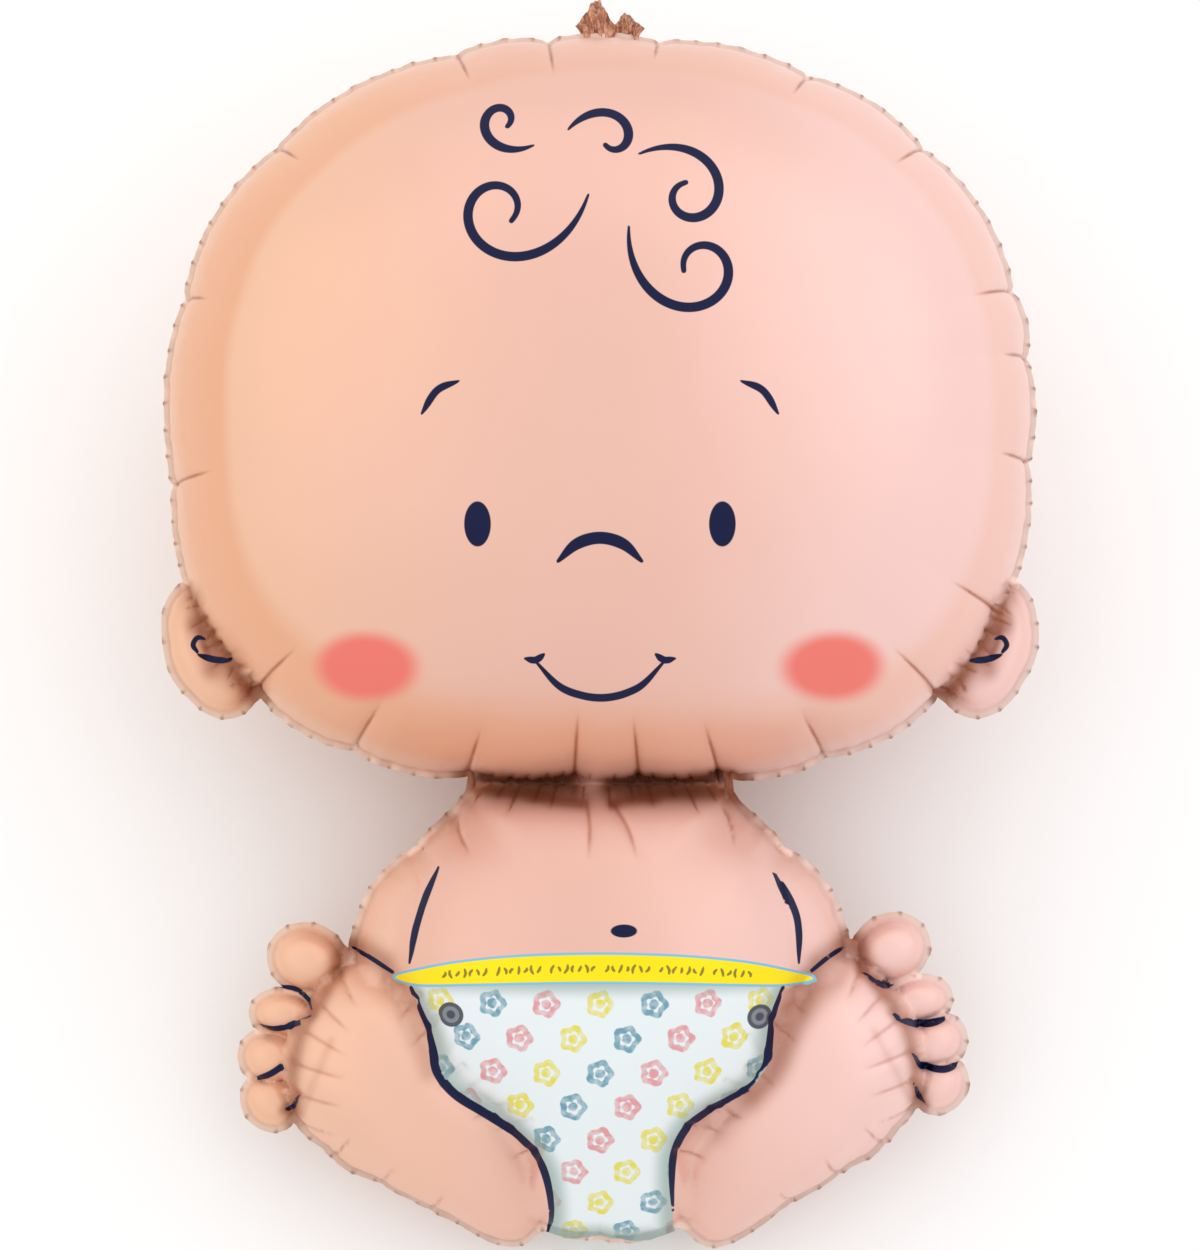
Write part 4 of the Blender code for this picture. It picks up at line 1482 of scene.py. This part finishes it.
def make_mesh(name: str, points: Array, faces: Array, material: bpy.types.Material) -> bpy.types.Object:
    """Put points and triangles or quads into a smooth-shaded object at the origin.

    Args:
        name: name of the object and mesh.
        points: n by 3, in row axes.
        faces: corner numbers, three or four to a face.
        material: its finish.

    Returns:
        The object, linked to the scene.
    """
    mesh = bpy.data.meshes.new(name)
    mesh.vertices.add(len(points))
    mesh.vertices.foreach_set("co", points.astype(np.float32).ravel())
    mesh.loops.add(faces.size)
    mesh.loops.foreach_set("vertex_index", faces.astype(np.int32).ravel())
    mesh.polygons.add(len(faces))
    mesh.polygons.foreach_set("loop_start", np.arange(0, faces.size, faces.shape[1], dtype=np.int32))
    mesh.update(calc_edges=True)
    mesh.validate()
    mesh.shade_smooth()
    mesh.materials.append(material)
    obj = bpy.data.objects.new(name, mesh)
    bpy.context.scene.collection.objects.link(obj)
    return obj


@dataclass
class FillingTail:
    """The tail of film at the crown that the balloon is filled through: a pleated, crumpled, thin strip."""

    width: float = 0.044
    height: float = 0.021
    shift: float = 0.007
    root: float = 0.012
    thickness: float = 0.0007
    columns: int = 120
    rows: int = 34
    tufts: tuple[tuple[float, float, float], ...] = ((0.95, -0.42, 0.36), (0.50, 0.52, 0.26))
    pleats: tuple[tuple[float, float, float], ...] = ((1.0, 15, 1.5), (0.6, 27, -2), (0.35, 44, 4))
    pleat_height: float = 0.0021

    def build(self, skin: FoilSkin, material: bpy.types.Material) -> bpy.types.Object:
        """Build the strip as two sheets a film's thickness apart, joined round their edge.

        Across the strip the top edge rises in two tufts, each a bell curve. The sheet waves front and back in
        pleats that open towards the top: w = pleat height times a sum of waves of the place across.

        Args:
            skin: the film that it stands on, for its axes and its crown.
            material: the film's finish.

        Returns:
            The finished object.
        """
        across, up = np.meshgrid(np.linspace(-1, 1, self.columns), np.linspace(0, 1, self.rows))
        crown = skin.head.chin + skin.head.height
        tufts = sum(tall * np.exp(-(((across - at) / reach) ** 2)) for tall, at, reach in self.tufts)
        ragged = 0.05 * np.sin(31 * across) + 0.04 * np.sin(53 * across + 1)
        top = 0.16 + tufts + ragged * tufts
        v = crown - self.root + up * (self.root + skin.seam_width + self.height * top * 0.96)
        gather = 1 - 0.10 * np.sin(up * math.pi) + 0.05 * up
        u = self.shift + across * gather * self.width / 2 + 0.0012 * np.sin(9 * up + 5 * across) * up
        open_up = np.clip(up * 1.4 - 0.3, 0, 1)
        pleats = sum(size * np.sin(turns * across + drift * up) for size, turns, drift in self.pleats)
        w = self.pleat_height * open_up * pleats
        half = self.thickness / 2
        sheets = [np.column_stack([u.ravel(), v.ravel(), w.ravel() + side * half]) for side in (1, -1)]
        count = self.columns * self.rows
        number = np.arange(count).reshape(self.rows, self.columns)
        a, b, c, d = (n.ravel() for n in (number[:-1, :-1], number[:-1, 1:], number[1:, 1:], number[1:, :-1]))
        front = np.column_stack([a, b, c, d])
        edge = np.concatenate([number[0], number[1:, -1], number[-1, -2::-1], number[-2:0:-1, 0]])
        after = np.roll(edge, -1)
        wall = np.column_stack([after, edge, edge + count, after + count])
        faces = np.vstack([front, front[:, ::-1] + count, wall])
        return make_mesh("filling_tail", skin.to_row(np.vstack(sheets)), faces, material)


# Finishes


@dataclass(frozen=True)
class ColourLayer:
    """One layer of colour, print and painted shade alike: the attribute that it follows, where it is full and
    where it is gone.
    """

    attribute: str
    colour: str
    full: float
    gone: float
    strength: float = 1.0


@dataclass(frozen=True)
class PrintedFoil:
    """Metallised nylon film, reverse printed, which gives soft satin highlights on flat pastel colour."""

    # Skin tone with painted reflections: warmer to the left, pinker to the right, deeper in the middle.
    skin_left: str = "#EEBDA0"
    skin_middle: str = "#E6B7A8"
    skin_right: str = "#F3CBC4"
    # Darker tan of the painted shade and reflection inside the rims.
    tan: str = "#DF9664"
    # Brown of the airbrushed print shading, and of painted shade in valleys and in the seam's teeth.
    brown: str = "#94502F"
    # Brown painted shade in the bottoms of the creases.
    fold_shade_brown: str = "#A4552B"
    # Deepest brown painted shade along the valley under the chin.
    valley_shade_brown: str = "#4A2213"
    seam_pale: str = "#FCE3D4"
    navy: str = "#000C3A"
    cheek: str = "#EE7469"
    yellow: str = "#FBE30A"
    white: str = "#E6EDEF"
    edge_blue: str = "#7FBEDF"
    pin_grey: str = "#3E4250"
    pin_light: str = "#9A9EA8"
    mark_brown: str = "#6A6230"
    nappy_shade: str = "#93A8A0"
    teal: str = "#6F9FB2"
    pink: str = "#DE9DA2"
    motif_yellow: str = "#E3D85E"
    motif_across: float = 0.036
    motif_up: float = 0.0235
    motif_radius: float = 0.0068
    motif_line: float = 0.0020
    motif_wash: float = 170.0
    motif_dot: float = 0.0012
    motif_fray: float = 0.0022
    scallops: float = 5.0
    scallop_share: float = 0.12
    nappy_shade_share: float = 0.75
    roughness: float = 0.36
    metallic: float = 0.22
    specular: float = 0.25
    coat: float = 0.05
    coat_roughness: float = 0.25
    grain_scale: float = 900.0
    grain_share: float = 0.06
    crinkle_scale: float = 60.0
    crinkle_strength: float = 0.18
    crinkle_height: float = 0.0006
    mottle_scale: float = 5.0
    mottle_drift: float = 0.14
    left_end: float = -0.17
    right_end: float = 0.31
    middle_stop: float = 0.48

    def layers_under(self) -> list[ColourLayer]:
        """Skin colours with their painted shade and reflection, from the bottom up."""
        return [
            # Painted shade and reflection: the darker tan ring inside the rims.
            ColourLayer("rim", self.tan, 1.0, 0.0, 0.85),
            ColourLayer("seam", self.seam_pale, 0.6, 0.0, 0.55),
            # Painted shade in the crimps of the seam's teeth.
            ColourLayer("teeth", self.brown, 1.0, 0.2, 0.70),
            # Painted shade in the bottoms of the creases.
            ColourLayer("fold", self.fold_shade_brown, 1.0, 0.0, 0.88),
            # Brown hazes: airbrushed print shading together with painted shade in valleys, under the chin and
            # at the roots.
            ColourLayer("airbrush_and_painted_shade", self.brown, 1.0, 0.0, 0.92),
            # Painted shade along the valley under the chin.
            ColourLayer("valley", self.valley_shade_brown, 1.0, 0.0, 0.85),
            ColourLayer("cheek", self.cheek, 0.80, 1.40, 0.94),
        ]

    def layers_over(self) -> list[ColourLayer]:
        """Band, pins and drawn lines, over the nappy."""
        return [
            ColourLayer("band", self.edge_blue, 0.5, 1.1),
            ColourLayer("band", self.yellow, -1.2, -0.6),
            ColourLayer("marks", self.mark_brown, -0.1, 0.35, 0.85),
            ColourLayer("pins", self.pin_grey, -0.3, 0.4, 0.95),
            ColourLayer("pins", self.pin_light, -3.2, -2.2, 0.60),
            ColourLayer("pins", self.pin_grey, -6.0, -5.0, 0.90),
            ColourLayer("ink", self.navy, -0.25, 0.35),
        ]

    def lay(self, tree: bpy.types.NodeTree, under: bpy.types.NodeSocket,
            layer: ColourLayer) -> bpy.types.NodeSocket:
        """Lay one layer of colour over what is under it."""
        value = add_node(tree, "ShaderNodeAttribute", attribute_name=layer.attribute).outputs["Fac"]
        mask = add_node(tree, "ShaderNodeMapRange", {
            "Value": value, "From Min": layer.gone, "From Max": layer.full,
            "To Min": 0.0, "To Max": layer.strength}, interpolation_type="SMOOTHSTEP")
        mix = add_node(tree, "ShaderNodeMix", {0: mask.outputs[0], 6: under, 7: linear(layer.colour)},
                       data_type="RGBA")
        return mix.outputs[2]

    def skin_with_painted_reflection(self, tree: bpy.types.NodeTree, place: bpy.types.NodeSocket) -> bpy.types.NodeSocket:
        """Skin, mottled a little, with painted reflections: warm on the left, deeper in the middle and pink
        on the right.
        """
        parts = add_node(tree, "ShaderNodeSeparateXYZ", {0: place})
        soft = add_node(tree, "ShaderNodeTexNoise", {
            "Vector": place, "Scale": self.mottle_scale, "Detail": 2.0, "Roughness": 0.5})
        drift = add_node(tree, "ShaderNodeMath", {
            0: soft.outputs["Fac"], 1: self.mottle_drift, 2: parts.outputs["X"]}, operation="MULTIPLY_ADD")
        side = add_node(tree, "ShaderNodeMapRange", {
            "Value": drift.outputs[0], "From Min": self.left_end, "From Max": self.right_end})
        tones = add_node(tree, "ShaderNodeValToRGB", {0: side.outputs[0]})
        tones.color_ramp.interpolation = "EASE"
        tones.color_ramp.elements[0].color = linear(self.skin_left)
        tones.color_ramp.elements[1].color = linear(self.skin_right)
        tones.color_ramp.elements.new(self.middle_stop).color = linear(self.skin_middle)
        return tones.outputs[0]

    def nappy_colour(self, tree: bpy.types.NodeTree, place: bpy.types.NodeSocket) -> bpy.types.NodeSocket:
        """White nappy with scalloped rings in three colours, in staggered rows, and shade at its edge.

        In each cell of the lattice a ring is where the distance from the cell's middle, less the ring's
        radius with its scallops, is under half a line's width. A fine noise frays the line and thins its
        colour, as a watercolour wash does.
        """
        parts = add_node(tree, "ShaderNodeSeparateXYZ", {0: place})
        row = add_node(tree, "ShaderNodeMath", {0: parts.outputs["Y"], 1: self.motif_up}, operation="DIVIDE")
        row_number = add_node(tree, "ShaderNodeMath", {0: row.outputs[0]}, operation="FLOOR")
        stagger = add_node(tree, "ShaderNodeMath", {0: row_number.outputs[0], 1: 0.5}, operation="MULTIPLY")
        column = add_node(tree, "ShaderNodeMath", {0: parts.outputs["X"], 1: 1 / self.motif_across,
                                                   2: stagger.outputs[0]}, operation="MULTIPLY_ADD")
        column_number = add_node(tree, "ShaderNodeMath", {0: column.outputs[0]}, operation="FLOOR")
        across = add_node(tree, "ShaderNodeMath", {0: column.outputs[0]}, operation="FRACT")
        up = add_node(tree, "ShaderNodeMath", {0: row.outputs[0]}, operation="FRACT")
        across = add_node(tree, "ShaderNodeMath", {0: across.outputs[0], 1: self.motif_across,
                                                   2: -self.motif_across / 2}, operation="MULTIPLY_ADD")
        up = add_node(tree, "ShaderNodeMath", {0: up.outputs[0], 1: self.motif_up, 2: -self.motif_up / 2},
                      operation="MULTIPLY_ADD")
        turn = add_node(tree, "ShaderNodeMath", {0: up.outputs[0], 1: across.outputs[0]}, operation="ARCTAN2")
        local = add_node(tree, "ShaderNodeCombineXYZ", {0: across.outputs[0], 1: up.outputs[0]})
        away = add_node(tree, "ShaderNodeVectorMath", {0: local.outputs[0]}, operation="LENGTH")
        waves = add_node(tree, "ShaderNodeMath", {0: turn.outputs[0], 1: self.scallops}, operation="MULTIPLY")
        scallop = add_node(tree, "ShaderNodeMath", {0: waves.outputs[0]}, operation="COSINE")
        radius = add_node(tree, "ShaderNodeMath", {
            0: scallop.outputs[0], 1: self.scallop_share * self.motif_radius, 2: self.motif_radius},
            operation="MULTIPLY_ADD")
        gap = add_node(tree, "ShaderNodeMath", {0: away.outputs["Value"], 1: radius.outputs[0]},
                       operation="SUBTRACT")
        gap = add_node(tree, "ShaderNodeMath", {0: gap.outputs[0]}, operation="ABSOLUTE")
        dot = add_node(tree, "ShaderNodeMath", {0: away.outputs["Value"], 1: self.motif_dot},
                       operation="SUBTRACT")
        gap = add_node(tree, "ShaderNodeMath", {0: gap.outputs[0], 1: dot.outputs[0]}, operation="MINIMUM")
        wash = add_node(tree, "ShaderNodeTexNoise", {
            "Vector": place, "Scale": self.motif_wash, "Detail": 2.0})
        frayed = add_node(tree, "ShaderNodeMath", {
            0: wash.outputs["Fac"], 1: -self.motif_fray, 2: gap.outputs[0]}, operation="MULTIPLY_ADD")
        dense = add_node(tree, "ShaderNodeMapRange", {
            "Value": wash.outputs["Fac"], "From Min": 0.35, "From Max": 0.6, "To Min": 0.55})
        mask = add_node(tree, "ShaderNodeMapRange", {
            "Value": frayed.outputs[0], "From Min": self.motif_line - 0.0006,
            "From Max": self.motif_line - 0.0014, "To Max": dense.outputs[0]})
        turns = add_node(tree, "ShaderNodeMath", {
            0: row_number.outputs[0], 1: 2.0, 2: column_number.outputs[0]}, operation="MULTIPLY_ADD")
        kind = add_node(tree, "ShaderNodeMath", {0: turns.outputs[0], 1: 3.0}, operation="FLOORED_MODULO")
        ramp = add_node(tree, "ShaderNodeMapRange", {"Value": kind.outputs[0], "From Max": 3.0})
        tones = add_node(tree, "ShaderNodeValToRGB", {0: ramp.outputs[0]})
        tones.color_ramp.interpolation = "CONSTANT"
        tones.color_ramp.elements[0].color = linear(self.teal)
        tones.color_ramp.elements[1].position = 0.3
        tones.color_ramp.elements[1].color = linear(self.pink)
        tones.color_ramp.elements.new(0.6).color = linear(self.motif_yellow)
        printed = add_node(tree, "ShaderNodeMix", {
            0: mask.outputs[0], 6: linear(self.white), 7: tones.outputs[0]}, data_type="RGBA")
        edge = add_node(tree, "ShaderNodeAttribute", attribute_name="nappy").outputs["Fac"]
        shade = add_node(tree, "ShaderNodeMapRange", {
            "Value": edge, "From Min": -17.0, "From Max": -3.0, "To Max": self.nappy_shade_share},
            interpolation_type="SMOOTHSTEP")
        shaded = add_node(tree, "ShaderNodeMix", {
            0: shade.outputs[0], 6: printed.outputs[2], 7: linear(self.nappy_shade)}, data_type="RGBA")
        return shaded.outputs[2]

    def material(self, skin: FoilSkin) -> bpy.types.Material:
        """Build the printed film's material.

        Args:
            skin: the film, for the tilt and origin of its figure axes.

        Returns:
            The material.
        """
        made = bpy.data.materials.new("printed_metallised_film")
        made.use_nodes = True
        tree = made.node_tree
        tree.nodes.clear()
        tilt = math.radians(skin.tilt_deg)
        across, along, up = skin.origin
        shift = (across, along * math.cos(tilt) + up * math.sin(tilt),
                 -along * math.sin(tilt) + up * math.cos(tilt))
        where = add_node(tree, "ShaderNodeTexCoord").outputs["Object"]
        figure = add_node(tree, "ShaderNodeMapping", {
            "Vector": where, "Location": shift, "Rotation": (-tilt, 0, 0)})
        place = figure.outputs[0]
        colour = self.skin_with_painted_reflection(tree, place)
        for layer in self.layers_under():
            colour = self.lay(tree, colour, layer)
        nappy = self.nappy_colour(tree, place)
        edge = add_node(tree, "ShaderNodeAttribute", attribute_name="nappy").outputs["Fac"]
        inside = add_node(tree, "ShaderNodeMapRange", {"Value": edge, "From Min": 0.35, "From Max": -0.35})
        dressed = add_node(tree, "ShaderNodeMix", {0: inside.outputs[0], 6: colour, 7: nappy},
                           data_type="RGBA")
        colour = dressed.outputs[2]
        for layer in self.layers_over():
            colour = self.lay(tree, colour, layer)
        grain = add_node(tree, "ShaderNodeTexNoise", {
            "Vector": where, "Scale": self.grain_scale, "Detail": 2.0})
        crinkle = add_node(tree, "ShaderNodeTexNoise", {
            "Vector": where, "Scale": self.crinkle_scale, "Detail": 4.0, "Roughness": 0.55,
            "Distortion": 0.6})
        relief = add_node(tree, "ShaderNodeMath", {
            0: grain.outputs["Fac"], 1: self.grain_share, 2: crinkle.outputs["Fac"]},
            operation="MULTIPLY_ADD")
        bump = add_node(tree, "ShaderNodeBump", {
            "Strength": self.crinkle_strength, "Distance": self.crinkle_height, "Height": relief.outputs[0]})
        gloss = add_node(tree, "ShaderNodeMapRange", {
            "Value": crinkle.outputs["Fac"], "From Min": 0.3, "From Max": 0.7,
            "To Min": self.roughness - 0.04, "To Max": self.roughness + 0.05})
        shader = add_node(tree, "ShaderNodeBsdfPrincipled", {
            "Base Color": colour, "Roughness": gloss.outputs[0], "Metallic": self.metallic,
            "Normal": bump.outputs[0], "Specular IOR Level": self.specular, "Coat Weight": self.coat,
            "Coat Roughness": self.coat_roughness})
        add_node(tree, "ShaderNodeOutputMaterial", {"Surface": shader.outputs[0]})
        return made


@dataclass(frozen=True)
class CrumpledFoil:
    """The same film gathered and sealed: darker brown painted shade in the hollows of its crumples, and small
    bright glints.
    """

    light: str = "#D9A184"
    # Painted shade in the hollows of the crumples, following the bump's low places.
    hollow_shade: str = "#7E4A36"
    streak_scale: float = 260.0
    crumple_strength: float = 0.5
    crumple_height: float = 0.0008
    roughness: float = 0.38
    metallic: float = 0.35

    def material(self) -> bpy.types.Material:
        """Build the crumpled film's material."""
        made = bpy.data.materials.new("crumpled_metallised_film")
        made.use_nodes = True
        tree = made.node_tree
        tree.nodes.clear()
        where = add_node(tree, "ShaderNodeTexCoord").outputs["Object"]
        streaks = add_node(tree, "ShaderNodeTexNoise", {
            "Vector": where, "Scale": self.streak_scale, "Detail": 4.0, "Roughness": 0.6, "Distortion": 1.0})
        tone = add_node(tree, "ShaderNodeMapRange", {
            "Value": streaks.outputs["Fac"], "From Min": 0.35, "From Max": 0.62})
        mix = add_node(tree, "ShaderNodeMix", {
            0: tone.outputs[0], 6: linear(self.hollow_shade), 7: linear(self.light)}, data_type="RGBA")
        bump = add_node(tree, "ShaderNodeBump", {
            "Strength": self.crumple_strength, "Distance": self.crumple_height,
            "Height": streaks.outputs["Fac"]})
        shader = add_node(tree, "ShaderNodeBsdfPrincipled", {
            "Base Color": mix.outputs[2], "Roughness": self.roughness, "Metallic": self.metallic,
            "Normal": bump.outputs[0]})
        add_node(tree, "ShaderNodeOutputMaterial", {"Surface": shader.outputs[0]})
        return made


@dataclass(frozen=True)
class StudioPaper:
    """Matt white paper for the floor, which gives an even pale ground with a fine tooth."""

    tone: str = "#F8F8F8"
    roughness: float = 0.85
    tooth_scale: float = 400.0
    tooth_strength: float = 0.05
    tooth_height: float = 0.0003

    def material(self) -> bpy.types.Material:
        """Build the paper's material."""
        made = bpy.data.materials.new("matt_background_paper")
        made.use_nodes = True
        tree = made.node_tree
        tree.nodes.clear()
        where = add_node(tree, "ShaderNodeTexCoord").outputs["Object"]
        tooth = add_node(tree, "ShaderNodeTexNoise", {
            "Vector": where, "Scale": self.tooth_scale, "Detail": 3.0})
        bump = add_node(tree, "ShaderNodeBump", {
            "Strength": self.tooth_strength, "Distance": self.tooth_height, "Height": tooth.outputs["Fac"]})
        shader = add_node(tree, "ShaderNodeBsdfPrincipled", {
            "Base Color": linear(self.tone), "Roughness": self.roughness, "Normal": bump.outputs[0]})
        add_node(tree, "ShaderNodeOutputMaterial", {"Surface": shader.outputs[0]})
        return made


@dataclass(frozen=True)
class Softbox:
    """A square soft light: where it stands in row axes, its side, its power and its tint."""

    name: str
    place: tuple[float, float, float]
    size: float
    watts: float
    tint: str = "#FFFFFF"

    def build(self, aim: Vector) -> None:
        """Set up the light so that it faces the aim."""
        lamp = bpy.data.lights.new(self.name, "AREA")
        lamp.size = self.size
        lamp.energy = self.watts
        lamp.color = linear(self.tint)[:3]
        obj = bpy.data.objects.new(self.name, lamp)
        obj.location = self.place
        obj.rotation_euler = (aim - Vector(self.place)).to_track_quat("-Z", "Y").to_euler()
        bpy.context.scene.collection.objects.link(obj)


@dataclass
class Studio:
    """Floor, soft lights and the camera that looks straight at the figure's front."""

    floor_size: float = 14.0
    floor_lines: int = 15
    floor_drop: float = 0.0002
    image_height_px: int = 1250
    metre_per_px: float = 0.0006924
    lens: float = 100.0
    sensor: float = 36.0
    far_clip: float = 50.0
    world_strength: float = 0.94
    light_aim: float = 0.15
    lights: tuple[Softbox, ...] = (
        Softbox("key_softbox", (1.7, 0.7, 2.6), 3.2, 15),
        Softbox("fill_softbox", (-1.9, 0.2, 2.3), 3.2, 11, "#FFF8F2"),
        Softbox("top_softbox", (0.0, 2.2, 2.4), 2.4, 7),
    )

    def floor(self) -> bpy.types.Object:
        """A large flat floor of even squares, a little under the balloon's lowest points."""
        line = np.linspace(-self.floor_size / 2, self.floor_size / 2, self.floor_lines)
        x, y = np.meshgrid(line, line)
        points = np.column_stack([x.ravel(), y.ravel(), np.full(x.size, -self.floor_drop)])
        number = np.arange(x.size).reshape(x.shape)
        corners = (number[:-1, :-1], number[:-1, 1:], number[1:, 1:], number[1:, :-1])
        faces = np.column_stack([n.ravel() for n in corners])
        floor = make_mesh("studio_floor", points, faces, StudioPaper().material())
        return floor

    def camera(self, skin: FoilSkin) -> bpy.types.Object:
        """The camera: square to the figure's middle plane, as far off as makes the picture's height fit."""
        tilt = math.radians(skin.tilt_deg)
        up, out = Vector((0, math.cos(tilt), math.sin(tilt))), Vector((0, -math.sin(tilt), math.cos(tilt)))
        distance = self.image_height_px * self.metre_per_px * self.lens / self.sensor
        target = Vector(np.array([0, skin.view_v * up.y, skin.view_v * up.z]) - np.array(skin.origin))
        target.x = 0
        data = bpy.data.cameras.new("camera")
        data.lens, data.sensor_width, data.clip_end = self.lens, self.sensor, self.far_clip
        camera = bpy.data.objects.new("camera", data)
        axes = Matrix((Vector((1, 0, 0)), up, out)).transposed().to_4x4()
        camera.matrix_world = Matrix.Translation(target + out * distance) @ axes
        bpy.context.scene.collection.objects.link(camera)
        bpy.context.scene.camera = camera
        return camera

    def build(self, skin: FoilSkin) -> None:
        """Set up floor, lights, surroundings and camera."""
        self.floor()
        for softbox in self.lights:
            softbox.build(Vector((0, 0, self.light_aim)))
        world = bpy.data.worlds.new("studio")
        world.use_nodes = True
        background = world.node_tree.nodes["Background"].inputs
        background["Color"].default_value = linear("#FFFFFF")
        background["Strength"].default_value = self.world_strength
        bpy.context.scene.world = world
        bpy.context.scene.view_settings.view_transform = "Standard"
        self.camera(skin)


def main() -> None:
    """Build the film, the filling tail and the studio."""
    logging.basicConfig(level=logging.INFO, format="%(name)s: %(message)s")
    skin = FoilSkin()
    film = skin.build(PrintedFoil().material(skin))
    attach(film, "root")
    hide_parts("balloon")
    tail = FillingTail().build(skin, CrumpledFoil().material())
    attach(tail, "root")
    for piece in (film, tail):
        LOG.info("%s: %d faces", piece.name, len(piece.data.polygons))
    Studio().build(skin)


if __name__ == "__main__":
    main()
